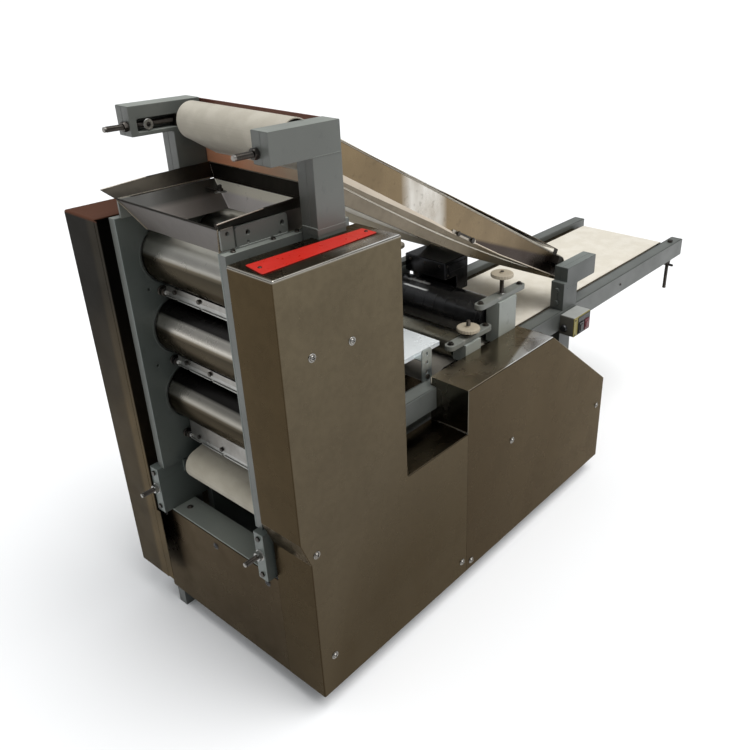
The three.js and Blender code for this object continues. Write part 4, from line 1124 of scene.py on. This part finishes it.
# Cheeks with their bearings and tension screws.
def cheek(side_name):
    side = SIDES[side_name]
    piece = Piece(side_name + "_cheek_plate")
    low, high, y, z = 276.3, 402, 190, 345
    front = rounded([(-18, low), (49.7, low), (49.7, high), (-18, high)], 1.5)
    rear = rectangle(48, 109.7, low, high)
    piece.add("plate_grey_shaded", slab(front, 175, 205, "Y", 1.2).on(side))
    piece.add("plate_grey_shaded", slab(rear, 175, 189, "Y", 0.8).on(side))
    bearing = rounded(rectangle(50, 100, 362, 397), 3)
    piece.add("plate_grey_shaded", slab(bearing, 171.5, 175.5, "Y", 0.8).on(side))
    piece.add("bolt", washer(170.2, 172, 20, 10.8, "Y", 75, 379).on(side))
    piece.add("zinc", hexagon(-28, -18, 19, "X", y, z).on(side))
    piece.add("zinc", washer(-19.4, -17.8, 13, 6, "X", y, z).on(side))
    piece.add("bolt", threaded(-56, -17, 6, "X", y, z).on(side))
    piece.add("shaft", shaft(-60, -55, 5.4, "X", y, z).on(side))
    for z in (292, 388):
        piece.add("bolt", hexagon(-22, -17.6, 11, "X", y, z).on(side))
    piece.finish(side_name + "_cheek")


# Covers of folded sheet.
COVER_IN, NOTCH_IN, COVER_OUT = 216, 236, 334
SHEET, FOLD, BEND = 2, 3.2, 5
FAR_FOOT = 56
HEAD_SCREWS = ((48, 832), (149, 828), (15, 400), (39, 99), (501, 44))
REAR_SCREWS = ((541, 23), (718, 318), (1204, 205))


def folded_cover(outline, walls, notches, side):
    """A face of sheet with walls along some edges of its outline, which stand towards the machine.

    walls tells for each edge whether it has a wall, and notches where a wall starts further out."""
    bends = [math.pi / 2 * k / 4 for k in range(5)]
    levels = [(0.0, COVER_IN), (0.0, NOTCH_IN)]
    levels += [(FOLD * (1 - math.cos(t)), COVER_OUT - FOLD * (1 - math.sin(t))) for t in bends]
    count = len(outline)
    points, faces = [], []

    def loop(depth, y):
        start = len(points)
        flat = inset(outline, [depth if wall else 0.0 for wall in walls])
        points.extend((u, y, v) for u, v in flat)
        return start, flat

    def join(a, b, i):
        j = (i + 1) % count
        faces.append((a + i, a + j, b + j, b + i))

    outer = [loop(depth, y) for depth, y in levels]
    inner = [loop(SHEET, y) for y in (COVER_IN, NOTCH_IN, COVER_OUT - SHEET)]
    for i in range(count):
        if not walls[i]:
            join(outer[-1][0], inner[-1][0], i)
            continue
        first = 1 if notches[i] else 0
        for shell in (outer, inner):
            for (a, _), (b, _) in list(zip(shell, shell[1:]))[first:]:
                join(a, b, i)
        join(outer[first][0], inner[first][0], i)
    for i in range(count):
        before = i - 1 if i else count - 1
        if walls[before] != walls[i]:
            first = 1 if (notches[before] or notches[i]) else 0
            edge = outer[first:] + inner[first:][::-1]
            faces.append(tuple(start + i for start, _ in edge))
        elif walls[i] and notches[before] != notches[i]:
            faces.append((outer[0][0] + i, outer[1][0] + i, inner[1][0] + i, inner[0][0] + i))
    for start, flat in (outer[-1], inner[-1]):
        loops = [[Vector((u, v, 0)) for u, v in flat]]
        faces += [tuple(start + k for k in face) for face in tessellate_polygon(loops)]
    return Shape(points, faces).on(side)


def cover_outline(corners):
    """Corners of (x, z, radius, has a wall on the edge after it, has a notch there)."""
    outline, walls, notches = [], [], []
    for i, (x, z, radius, wall, notch) in enumerate(corners):
        before, after = corners[i - 1][:2], corners[(i + 1) % len(corners)][:2]
        arc = [(x, z)]
        if radius > 0:
            arc = rounded([(*before, 0), (x, z, radius), (*after, 0)], 0)[1:-1]
        outline += arc
        walls += [True] * (len(arc) - 1) + [wall]
        notches += [False] * (len(arc) - 1) + [notch]
    return outline, walls, notches


def cover_screw(x, z, side):
    seat = washer(COVER_OUT - 0.3, COVER_OUT + 1.2, 9, 3, "Y", x, z)
    return seat.on(side), screw_head(6.5, 4.2, "Y", x, z, COVER_OUT + 1.0, 1).on(side)


def head_cover(side_name):
    side = SIDES[side_name]
    front, seam, notch, step, top = -23, 519.7, 435, 296, 1000
    lower = [(0, 0, 0, False, False), (seam, 0, 0, False, False)]
    corners = [
        (seam, notch, 0, True, False),
        (392, notch, 0, True, True),
        (343, notch, 0, True, False),
        (step, notch, BEND, True, False),
        (step, top, BEND, True, False),
        (250, top, 0, True, True),
        (173, top, 0, True, False),
        (front, top, BEND, True, False),
    ]
    if side == FAR:
        lower = [(front, FAR_FOOT, 0, False, False), (seam, FAR_FOOT, 0, False, False)]
    else:
        corners += [(front, 446, BEND, True, False), (0, 380, BEND, True, False)]
    sheet = folded_cover(*cover_outline(lower + corners), side)
    piece = Piece(side_name + "_head_cover_sheet")
    piece.add("cover" if side == NEAR else "far_cover", sheet)
    if side == FAR:
        piece.add("far_cover", box(-22.4, -21.0, 206.5, 218, FAR_FOOT + 3, 997, 0.4))
        piece.add("far_cover", box(-22.6, -21.2, 193, 218, FAR_FOOT + 3, 274, 0.4))
    for x, z in HEAD_SCREWS:
        if side == NEAR or z > FAR_FOOT + 20:
            piece.add("shaft", *cover_screw(x, z, side))
    piece.finish(side_name + "_head_cover")


def rear_cover(side_name):
    side = SIDES[side_name]
    start, end, notch, top = 520.3, 1239, 435, 556
    corners = [
        (start, 0, 0, False, False),
        (end, 0, 0, True, False),
        (end, 291, BEND, True, False),
        (905, top, BEND, True, False),
        (start, top, 0, True, False),
        (start, notch, 0, False, False),
    ]
    piece = Piece(side_name + "_rear_cover_sheet")
    piece.add("rear_cover", folded_cover(*cover_outline(corners), side))
    piece.add("seam", rod((520.6, side * 237, 437), (520.6, side * 331, 437), 1.4))
    piece.add("seam", rod((520.6, side * 217.5, 537), (520.6, side * 217.5, 554), 2.4))
    for x, z in REAR_SCREWS:
        piece.add("shaft", *cover_screw(x, z, side))
    piece.finish(side_name + "_rear_cover")


# The red plate on the near cover's lid.
def sign_plate():
    piece = Piece("sign_plate")
    outline = rounded([(-14, -300), (-4, -243), (272, -253), (271, -293)], 3)
    piece.add("red", slab(outline, 1000.3, 1001.8, "Z", 0.4))
    for x, y in ((4, -272), (262, -273)):
        piece.add("bolt", screw_head(4, 2, "Z", x, y, 1001.8, 1))
    piece.finish(slot="red_plastic", body="root")


# Belts, round drums (x, z, radius) that give their outer surfaces.
BELT = 3
INFEED = ((75, 390, 38), (430, 500, 30))
OUTFEED = ((640, 488, 32), (1950, 495, 25))
RETURN = ((205, 1171, 39), (1210, 635, 30))


def wrapped(circles, spacing=8.0):
    """A counter-clockwise band round circles: rows of place, outward direction, run and share of it."""
    path, angles = [], []
    for (x0, z0, r0), (x1, z1, r1) in zip(circles, circles[1:] + circles[:1]):
        dx, dz = x1 - x0, z1 - z0
        angles.append(math.atan2(dz, dx) - math.pi / 2 + math.asin((r1 - r0) / math.hypot(dx, dz)))
    for i, (x, z, r) in enumerate(circles):
        start, end = angles[i - 1], angles[i]
        while end < start:
            end += 2 * math.pi
        steps = max(3, int((end - start) * r / spacing * 2.5))
        for k in range(steps + 1):
            turn = start + (end - start) * k / steps
            path.append((*polar(x, z, r, turn), math.cos(turn), math.sin(turn), i, 0.0))
        turn = angles[i]
        a, b = polar(x, z, r, turn), polar(*circles[(i + 1) % len(circles)], turn)
        pieces = max(2, int(math.dist(a, b) / spacing))
        for t in (k / pieces for k in range(1, pieces)):
            path.append((blend(a[0], b[0], t), blend(a[1], b[1], t), math.cos(turn), math.sin(turn), i, t))
    return path


def belt_piece(node, circles, half, look, sag=0.0):
    """A belt round drums: circles give its outer surface, and its first run sags."""
    path = wrapped(circles)
    under = [(-half, -BELT + 0.5), (-half + 0.7, -BELT), (-half / 3, -BELT), (half / 3, -BELT)]
    under += [(half - 0.7, -BELT), (half, -BELT + 0.5)]
    over = [(half, -0.7), (half - 0.8, 0), (half / 3, 0), (-half / 3, 0), (-half + 0.8, 0), (-half, -0.7)]
    section = under + over
    points, faces = [], []
    size, count = len(section), len(path)
    length = sum(math.dist(a[:2], b[:2]) for a, b in zip(path, path[1:] + path[:1]))
    walked = 0.0
    for k, (x, z, nx, nz, i, t) in enumerate(path):
        walked += math.dist(path[k - 1][:2], (x, z)) if k else 0.0
        phase = 2 * math.pi * walked / length
        drift = 0.5 * math.sin(3 * phase) + 0.3 * math.sin(11 * phase + 1)
        drop = 4 * sag * t * (1 - t) if i == 0 else 0.0
        for y, rise in section:
            shift = drift if abs(y) > 0.9 * half else 0.0
            lift = 0.25 * math.sin(7 * phase + y * 0.02) if t and rise > -1 else 0
            place = rise + lift
            points.append((x + nx * place, y - math.copysign(0.6, y) + shift * 0.6, z + nz * place - drop))
    for k in range(count):
        a, b = k * size, (k + 1) % count * size
        faces += [(a + i, b + i, b + (i + 1) % size, a + (i + 1) % size) for i in range(size)]
    piece = Piece(node + "_cloth")
    piece.add(look, Shape(points, faces))
    made = piece.finish(node)


def belts():
    belt_piece("infeed_belt", INFEED, 144, "worn_canvas")
    belt_piece("outfeed_belt", OUTFEED, 166, "canvas")
    belt_piece("return_belt", RETURN, 161.5, "return_canvas", sag=26)


# Hand knobs: KNOB_PROFILE holds heights over the disc's lower face and shares of the radius.
KNOB_PROFILE = ((0, 0.62), (0.3, 0.9), (1.8, 0.985), (3.0, 1.0), (9.0, 1.0), (10.4, 0.98), (11.6, 0.9))
KNOB_PROFILE += ((12, 0.7), (11.2, 0.45), (11.2, 0.24), (14.5, 0.2))
KNOB_RADIUS, KNOB_LOBES, BOLT_Y = 31, 24, 194
KNOB_DISCS = {"press": 609, "cutter": 715}


def hand_knob(node, x, side, disc):
    """A lobed knob on its screw; disc is the height of its lower face."""
    z0, z1 = ((corner.z - ORIGIN.z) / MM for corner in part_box(node))
    y = side * BOLT_Y
    piece = Piece(node + "_moulded")
    count = 192
    points = []
    for rise, size in KNOB_PROFILE:
        for turn in turns(count):
            ripple = 1 - 0.028 * (0.5 + 0.5 * math.cos(KNOB_LOBES * turn)) * (1 if size > 0.88 else 0)
            points.append((*polar(x, y, KNOB_RADIUS * size * ripple, turn), disc + rise))
    piece.add("beige", Shape(points, tube(count, len(KNOB_PROFILE))))
    piece.add("bolt", threaded(z0, disc + 1, 6, "Z", x, y))
    if z1 > disc + 13:
        piece.add("bolt", threaded(disc + 10, z1, 6, "Z", x, y))
    piece.add("bolt", hexagon(disc - 8, disc - 0.2, 17, "Z", x, y))
    piece.finish(node)


# Arms over the head and on the rails.
TOP_X, TOP_Z = 205, 1171
LOW_X, LOW_Z = 1210, 635
TUBE_IN, TUBE_SEAM, TUBE_OUT = 189.3, 213.4, 234


def arm_tube(piece, look, outline, hole, side):
    """A closed tube in two halves, with a hole in the inner one."""
    piece.add(look, slab(outline, TUBE_IN, TUBE_SEAM, "Y", 1.4, [hole]).on(side))
    piece.add(look, slab(outline, TUBE_SEAM - 0.1, TUBE_OUT, "Y", 1.4).on(side))


def top_arm(side_name):
    side = SIDES[side_name]
    piece = Piece(side_name + "_top_arm_tube")
    outline = rounded([(175, 986), (248, 986), (248, 1210), (79, 1210), (79, 1150), (175, 1150)], 2.5, 3)
    arm_tube(piece, "grey", outline, rounded(rectangle(95, 232, 1158, 1184), 4), side)
    foot = rounded(rectangle(174, 249, 188.5, 234.6), 2)
    piece.add("grey", slab(foot if side == FAR else [(x, -y) for x, y in foot], ON_HEAD, 1017.3, "Z", 1.0))
    block = rounded(rectangle(183, 227, 1158.5, 1183.5), 2)
    piece.add("bolt", slab(block, 189.8, 213.5, "Y", 1.0, [circle(TOP_X, TOP_Z, BORE, 32)]).on(side))
    piece.add("zinc", washer(188.8, 190.6, 11, 5, "Y", 120, TOP_Z).on(side))
    piece.add("grey", bead((175.5, 234, 1150), (175.5, 190, 1150), 2.4).on(side))
    piece.add("grey", bead((175, 233.6, 1151), (247, 233.6, 1151), 1.3, 2).on(side))
    for x, seed in ((174.6, 1), (248.4, 3)):
        piece.add("grey", bead((x, 191, 1018), (x, 233, 1018), 2.2, seed).on(side))
    piece.finish(side_name + "_top_arm")


def top_screw(side_name):
    side = SIDES[side_name]
    node = side_name + "_top_screw"
    piece = Piece(node + "_thread")
    y = side * 201.3
    piece.add("bolt", threaded(33, 182.4, 6, "X", y, TOP_Z))
    piece.add("shaft", shaft(28, 34, 5.4, "X", y, TOP_Z))
    piece.add("bolt", hexagon(68.7, 78.2, 19, "X", y, TOP_Z), washer(77.4, 78.7, 10, 6, "X", y, TOP_Z))
    piece.finish(node)


def outfeed_arm(side_name):
    side = SIDES[side_name]
    piece = Piece(side_name + "_outfeed_arm_tube")
    outline = [(1120, ON_RAIL), (1200, ON_RAIL), (1200, 602), (1304, 602)]
    outline += [(1304, 664), (1136, 664), (1136, 620), (1120, 620)]
    arm_tube(piece, "low_grey", rounded(outline, 2.5, 3), circle(LOW_X, LOW_Z, BORE, 32), side)
    piece.add("bolt", washer(188.2, 190, 22, BORE, "Y", LOW_X, LOW_Z).on(side))
    piece.add("low_grey", bead((1199.6, 190.5, 602.4), (1199.6, 233, 602.4), 2.3).on(side))
    piece.add("low_grey", bead((1136, 234, 602), (1199, 234, 602), 1.3, 2).on(side))
    for z in (556, 596):
        piece.add("low_grey", hexagon(1113.5, 1120.2, 13, "X", 212, z).on(side))
    piece.finish(side_name + "_outfeed_arm")


# Outfeed rails, open below, and the handle under the near one.
CLAMP_PLACE = (1938, -212)


def outfeed_rail(side_name):
    side = SIDES[side_name]
    piece = Piece(side_name + "_rail_channel")
    start, end, low, top, wall = 330, 2003, 473, 533, 5
    bores = [(430, 500), (640, 488), (1950, 495)]
    holes = [circle(x, z, BORE, 32) for x, z in bores]
    web = rounded(rectangle(start, end, low, top), 2)
    piece.add("rail_grey", slab(web, TUBE_IN, TUBE_IN + wall, "Y", 1.0, holes).on(side))
    piece.add("rail_grey", slab(web, TUBE_OUT - wall, TUBE_OUT, "Y", 1.0).on(side))
    piece.add("rail_grey", box(start + 1, end - 1, 190, 233, top - wall, top, 1.0).on(side))
    for x0, x1 in ((start, start + wall), (end - wall, end)):
        piece.add("rail_grey", box(x0, x1, 193, 230, low, top - 1, 1.0).on(side))
    for x in (560, 1000, 1500):
        piece.add("bolt", screw_head(5, 3, "Y", x, 503, TUBE_OUT, 1).on(side))
    for x, z in bores:
        piece.add("bolt", washer(188.4, 189.8, 17, BORE, "Y", x, z).on(side))
    piece.add("rail_grey", bead((end - 1, 191, top - 0.5), (end - 1, 232, top - 0.5), 1.2).on(side))
    if side == NEAR:
        piece.add("rail_grey", washer(473.2, 529, 14, 7.6, "Z", *CLAMP_PLACE))
        piece.add("bolt", hexagon(533, 541, 17, "Z", *CLAMP_PLACE))
    piece.finish(side_name + "_outfeed_rail")


def clamp_handle():
    piece = Piece("clamp_handle_turned")
    x, y = CLAMP_PLACE
    piece.add("bolt", threaded(352, 472, 6.6, "Z", x, y), shaft(468, 499, 6.6, "Z", x, y))
    piece.add("bolt", hexagon(455, 471.5, 19, "Z", x, y), washer(450, 455.2, 10, 6, "Z", x, y))
    piece.add("bolt", rod((x, y - 24, 445), (x, y + 24, 445), 4.6, 20))
    piece.add("bolt", shaft(350, 356, 7, "Z", x, y, 2))
    piece.finish("clamp_handle")


# Front panel with its screws, and the tray over it.
def front_panel():
    piece = Piece("front_panel_sheet")
    piece.add("panel", slab(rectangle(-215.7, 240, 0, 275.7), 0, 2, "X", 0.7))
    for y, z in ((208, 253), (7, 252), (-177, 246)):
        piece.add("bolt", washer(-0.8, 0.2, 9, 3, "X", y, z))
        piece.add("black_plastic", screw_head(7, 2.6, "X", y, z, -0.6, -1))
    piece.finish("front_panel")


def front_tray():
    piece = Piece("front_tray_sheet")
    piece.add("dark", box(2.3, 67, -189, 189, 272, 276, 1.2))
    piece.add("dark", box(2.3, 6.3, -189, 189, 240, 275, 1.0), box(63, 67, -189, 189, 240, 275, 1.0))
    piece.add("worn_edge", rod((3.4, -188, 276), (3.4, 188, 276), 0.9))
    for y in (-150, 150):
        piece.add("bolt", shaft(275.6, 277.5, 8, "Z", 34, y), screw_head(6, 3, "Z", 34, y, 277.4, 1))
    piece.finish("front_tray")


# Return tray: rear plate, bed, and a folded panel along each edge of the belt.
TRAY_END = 1193
TRAY_XS = (252.5, 300, 380, 470, 565, 595, 640, 668, 715, 761, 820, 877)
TRAY_XS += (950, 1030, 1110, 1160, 1184, TRAY_END)


def tray_panel_heights(x):
    top = 1148 - (x - 320) * 482 / 884
    folds = ((252, 1118), (317, 1081), (595, 923), (668, 878), (877, 763), (1193, 605), (1204, 600))
    feet = ((252, 1059), (312, 1026), (565, 888), (761, 786), (1175, 605), (1204, 592))

    def along(stops):
        for (x0, z0), (x1, z1) in zip(stops, stops[1:]):
            if x <= x1:
                return z0 + (z1 - z0) * (x - x0) / (x1 - x0)
        return stops[-1][1]

    return top, along(folds), along(feet)


def strip(piece, look, along, over, across):
    """A flat bar along the belt's slope, given by ranges along it, above its middle and across it."""
    run, up = Vector((1005, 0, -536)).normalized(), Vector((536, 0, 1005)).normalized()
    turn = Matrix.Rotation(-math.asin(9 / math.hypot(1005, 536)), 3, "Y")
    flat = slab(rectangle(*along, *over), 0, across[1] - across[0], "Z", 0.7)
    piece.add(look, flat.placed((TOP_X, across[1], TOP_Z), turn @ run, turn @ up))


def tray_panel(piece, side):
    """A panel beside the belt, the skirt folded in under it, and along the fold a pale lip and rods that are
    a painted highlight.
    """
    upper, skirt, lip, folds = [], [], [], []
    for x in TRAY_XS:
        top, fold, foot = tray_panel_heights(x)
        fall, wave = top - fold, 0.5 * math.sin(x / 97.0)
        end = min(1.0, max(0.0, (TRAY_END - x) / 60))
        width = 13 * min(1.0, max(0.12, (760 - x) / 400))
        rows = [(154, top - 1.2), (161.8, top - 0.2), (163.5, top - 2.2), (163.5 + wave, top - 0.35 * fall)]
        rows += [(163.5 + wave, top - 0.7 * fall), (163.5, fold + 1.5)]
        upper.append([(x, side * y, z) for y, z in rows])
        rows = [(163.5, fold + 1.5), (162.4, fold - 1.5), (162 - 7 * end, (fold + foot) / 2)]
        rows += [(162 - 14 * end, foot), (159 - 14 * end, foot - 0.5)]
        skirt.append([(x, side * y, z) for y, z in rows])
        rows = [(164.8, fold + 1.5), (165.4, fold - 0.4 * width), (164.6, fold - width)]
        lip.append([(x, side * y, z) for y, z in rows])
        folds.append((x, side * 164.2, fold + 0.5))
    piece.add("golden", thick(upper, 1.8))
    piece.add("skirt" if side == NEAR else "far_skirt", thick(skirt, 1.8))
    # The lip and the fold's rods are a painted highlight along the fold.
    piece.add("lip", thick(lip, 1.0))
    edge = [(x, side * 162.6, tray_panel_heights(x)[0] + 0.2) for x in (TRAY_XS[0], TRAY_END)]
    piece.add("seam", rod(*edge, 1.2))
    for a, b in zip(folds, folds[1:]):
        piece.add("seam", rod(a, b, 0.9, 8))


def tray_end(piece, side):
    """The jagged dark plate and the bracket at a panel's low end."""
    plate = [(1193, 669), (1206, 655), (1198, 640), (1204, 622), (1184, 601), (1170, 620), (1184, 676)]
    piece.add("bolt", slab(rounded(plate, 2), 160, 164.6, "Y", 0.8).on(side))
    strip(piece, "bolt", (1072, 1094), (-9, 34), sorted((side * 162.5, side * 164.5)))
    strip(piece, "bolt", (1072, 1094), (-9, 13), sorted((side * 162.5, side * 189)))


def tray_latch(piece, side):
    clip = [(671, 885), (767, 832), (764, 822), (668, 876)]
    piece.add("seam", slab(rounded(clip, 2), 164, 166.4, "Y", 0.6).on(side))
    for x, z, size in ((690, 869, 11), (748, 837, 13)):
        piece.add("bolt", hexagon(166.2, 172, size, "Y", x, z).on(side))
    piece.add("bolt", rod((700, side * 167.5, 867), (742, side * 167.5, 844), 2.6))


def return_tray():
    piece = Piece("return_tray_sheet")
    strip(piece, "golden", (50, 1094), (33, 35), (-163, 163))
    plate = rounded(rectangle(-228, 234, 1045, 1206), 3)
    piece.add("copper", slab(plate, 250.3, 252.3, "X", 0.7, [rectangle(-163, 163, 1096, 1193.5)]))
    piece.add("copper", rod((251.3, -226, 1206), (251.3, 233, 1206), 1.5))
    for side in (NEAR, FAR):
        piece.add("golden", shaft(248.3, 251, 11, "X", side * 211, 1129.5))
        piece.add("bolt", hexagon(252, 258, 13, "X", side * 211, 1129.5))
        tray_panel(piece, side)
        tray_end(piece, side)
        tray_latch(piece, side)
    piece.finish("return_tray")


# Guide plate between the infeed and outfeed belts.
def guide_plate():
    piece = Piece("guide_plate_sheet")
    outline = [(446, 540), (450, 540), (470, 600), (614, 600), (616, 601.5), (616, 603), (466, 603)]
    piece.add("bright", slab(outline, -167, 167, "Y", 0.7))
    piece.add("bright", rod((616, -166, 601.5), (616, 166, 601.5), 1.7))
    hanger = rounded([(516, ON_RAIL), (553, ON_RAIL), (553, 620, 9), (516, 620, 9)], 1)
    holes = [circle(534, z, 5, 24) for z in (606, 583, 556)]
    tab = rounded([(466, 602), (616, 602), (616, 591), (470, 591)], 1.5)
    for side in (NEAR, FAR):
        piece.add("bright", slab(tab, 164, 167, "Y", 0.8).on(side))
        piece.add("guide_arm", box(516, 553, 166, 192, 591, 594, 0.8).on(side))
        piece.add("guide_arm", slab(hanger, TUBE_IN, TUBE_IN + 4, "Y", 0.8, holes).on(side))
        piece.add("bolt", hexagon(193, 198, 12, "Y", 534, 544).on(side))
    piece.finish("guide_plate")


# Stations: a block each side with a clamp plate and bolts on it. Each has its place along the machine, the
# block's reach to front and rear, its height, the plate's reach to front and rear, and its roller's radius.
STATION_FLOOR = 520
STATIONS = {"press": (702, 37, 29, 64, 90, 93, 34), "cutter": (850, 38, 44, 135, 112, 102, 60)}


def station_block(side_name, name):
    side = SIDES[side_name]
    x, front, rear, height, plate_front, plate_rear, radius = STATIONS[name]
    piece = Piece(side_name + "_" + name + "_housing")
    top, axis = STATION_FLOOR + height, STATION_FLOOR + radius + 0.3
    face = rounded(rectangle(x - front, x + rear, ON_RAIL, top), 2)
    inner = slab(face, 172, 210, "Y", 1.2, [circle(x, axis, 10.7, 32)])
    piece.add("block_grey", inner.on(side), slab(face, 209.9, 215, "Y", 1.2).on(side))
    piece.add("bolt", washer(171, 172.6, 20, 10.8, "Y", x, axis).on(side))
    corners = rectangle(x - plate_front, x + plate_rear, 179, 209)
    flat = rounded([(a, side * b, 14.7) for a, b in corners], 0, 8)
    y = side * BOLT_Y
    piece.add("clamp_grey", slab(flat, top - 0.3, top + 13, "Z", 1.4, [circle(x, y, 6.8, 32)]))
    for a in (x - plate_front + 16, x + plate_rear - 16):
        piece.add("bolt", washer(top + 12.8, top + 14.4, 9, 4, "Z", a, y))
        piece.add("bolt", hexagon(top + 14, top + 19, 11, "Z", a, y))
    piece.add("zinc", washer(top + 12.8, top + 15, 12, 6.8, "Z", x, y))
    for a in (x - front + 9, x + rear - 9):
        piece.add("bolt", screw_head(5, 3, "Y", a, 545, 215, 1).on(side))
    piece.finish(side_name + "_" + name + "_block")


def station_roller(name, look):
    """The press roller is plain, and the cutting roller has nine ridges round it."""
    x, radius, half = STATIONS[name][0], STATIONS[name][6], 165
    z = STATION_FLOOR + radius + 0.3
    piece = Piece(name + "_roller_turned")
    rows = [(-half, 0), (-half, radius - 6), (-half + 1, radius - 2), (-half + 3, radius)]
    body = [(-60, radius), (60, radius)]
    if name == "cutter":
        rows[3] = (-half + 3, radius - 0.6)
        body = []
        for w in range(-148, 149, 37):
            body += [(w - 3, radius - 0.6), (w - 1.2, radius), (w + 1.2, radius), (w + 3, radius - 0.6)]
    profile = rows + body + [(-w, r) for w, r in reversed(rows)]
    piece.add(look, lathe(profile, "Y", x, z, 96))
    piece.add("shaft", shaft(-210.7, -half + 1, 10, "Y", x, z), shaft(half - 1, 210.7, 10, "Y", x, z))
    piece.finish(name + "_roller")


# Hood behind the cutter.
def hood():
    piece = Piece("cutter_hood_casing")
    outline = [(915, 600), (970, 600), (970, 703), (860, 703), (860, 650), (915, 650)]
    piece.add("black", slab(rounded(outline, 3), 11, 160, "Y", 2.0))
    piece.add("black", slab(rounded(rectangle(880, 952, 668, 692), 3), 9.5, 12, "Y", 0.8))
    piece.add("black", box(955, 970, 158, 214, 650, 663, 1.2), box(955, 970, 191, 214, ON_RAIL, 652, 1.2))
    for x, z in ((872, 690), (958, 690), (958, 612), (872, 662)):
        piece.add("bolt", screw_head(4, 2.4, "Y", x, z, 11, -1))
    for y in (30, 85, 140):
        piece.add("bolt", screw_head(4, 2.4, "X", y, 690, 860, -1))
    piece.add("bolt", hexagon(663, 669, 13, "Z", 962, 203))
    piece.finish("cutter_hood")


# Switch box with two push buttons.
def switch_box():
    piece = Piece("switch_box_moulded")
    pockets = [rectangle(x - 0.5, x + 26.5, 469.5, 504.5) for x in (1134, 1167)]
    body = rounded([(1108, 464), (1202, 464), (1202, 525), (1108, 525)], 3)
    piece.add("casing", slab(body, 234.3, 281, "Y", 1.2, pockets).on(NEAR))
    piece.add("yellow", slab(body, 280.8, 284, "Y", 1.0, pockets).on(NEAR))
    piece.add("lid", slab(rounded(rectangle(1109, 1201, -283, -236), 2), 523.5, 526, "Z", 0.8))
    piece.add("black_plastic", lathe([(1101, 0), (1101, 9), (1106, 12), (1108.2, 12)], "X", -250, 486, 32))
    plate_outline = rounded(rectangle(1130, 1200.5, 466, 521), 2)
    piece.add("black_plastic", slab(plate_outline, 283.6, 286, "Y", 0.6, pockets).on(NEAR))
    for x, z in ((1116, 470), (1116, 517)):
        piece.add("bolt", screw_head(3, 1.6, "Y", x, z, -284, -1))
    piece.finish("switch_box")


def push_button(name, x, look):
    piece = Piece(name + "_cap")
    outline = rounded(rectangle(x, x + 26, 470, 504), 2)
    piece.add(look, slab(outline, 268.5, 289, "Y", 1.2).on(NEAR))
    piece.add(look, slab(rounded(rectangle(x + 4, x + 22, 476, 498), 4), 288, 291, "Y", 1.0).on(NEAR))
    piece.finish(name)


# Floor and light.
SKY_LIGHT, SUN_LIGHT, SUN_PLACE = 0.8, 2.4, (0.12, -0.42, 0.9)
SKY = ((0.0, 0.30), (0.30, 0.30), (0.62, 1.0), (1.0, 1.0))


def studio():
    half = 400.0
    floor_mesh = bpy.data.meshes.new("floor")
    floor_mesh.from_pydata([(u, v, 0) for u, v in rectangle(-half, half, -half, half)], [], [(0, 1, 2, 3)])
    floor = bpy.data.objects.new("floor", floor_mesh)
    look = Look("floor", (0.86, 0.86, 0.86), 0.0, 0.9)
    look.spots(1.5, 3, 0.2, (0.84, 0.84, 0.84))
    floor_mesh.materials.append(look.material)
    bpy.context.scene.collection.objects.link(floor)
    world = bpy.data.worlds.new("studio")
    world.use_nodes = True
    tree = world.node_tree
    place = tree.nodes.new("ShaderNodeTexCoord")
    split = tree.nodes.new("ShaderNodeSeparateXYZ")
    sky = tree.nodes.new("ShaderNodeValToRGB")
    background = tree.nodes["Background"]
    tree.links.new(place.outputs["Generated"], split.inputs["Vector"])
    tree.links.new(split.outputs["Z"], sky.inputs["Fac"])
    tree.links.new(sky.outputs["Color"], background.inputs["Color"])
    set_stops(sky.color_ramp, [(height, (0.96 * level, 0.98 * level, level)) for height, level in SKY])
    background.inputs["Strength"].default_value = SKY_LIGHT
    bpy.context.scene.world = world
    lamp = bpy.data.lights.new("key", "SUN")
    lamp.energy = SUN_LIGHT
    lamp.angle = math.radians(45)
    sun = bpy.data.objects.new("key", lamp)
    sun.rotation_euler = Vector(SUN_PLACE).to_track_quat("Z", "Y").to_euler()
    bpy.context.scene.collection.objects.link(sun)
    bpy.context.scene.view_settings.view_transform = "Standard"


def build():
    for side_name, side in SIDES.items():
        head_plate(side_name)
        head_cover(side_name)
        rear_cover(side_name)
        for station, disc in KNOB_DISCS.items():
            hand_knob(side_name + "_" + station + "_knob", STATIONS[station][0], side, disc)
        cheek(side_name)
        top_arm(side_name)
        top_screw(side_name)
        outfeed_arm(side_name)
        outfeed_rail(side_name)
        for station in STATIONS:
            station_block(side_name, station)
    for level in LEVELS:
        for which, x in zip(("front", "rear"), ROLLER_XS):
            sheeting_roller(level, which, x)
        scraper(level)
    hopper()
    front_panel()
    front_tray()
    return_tray()
    guide_plate()
    station_roller("press", "dull_steel")
    station_roller("cutter", "black_roller")
    hood()
    switch_box()
    push_button("start_button", 1134, "black_plastic")
    push_button("stop_button", 1167, "red_plastic")
    clamp_handle()
    sign_plate()
    belts()
    for node in sorted(set(nodes) - done):
        softened(node, own_looks.get(node) or slot_looks[slots[node]])
    studio()


build()
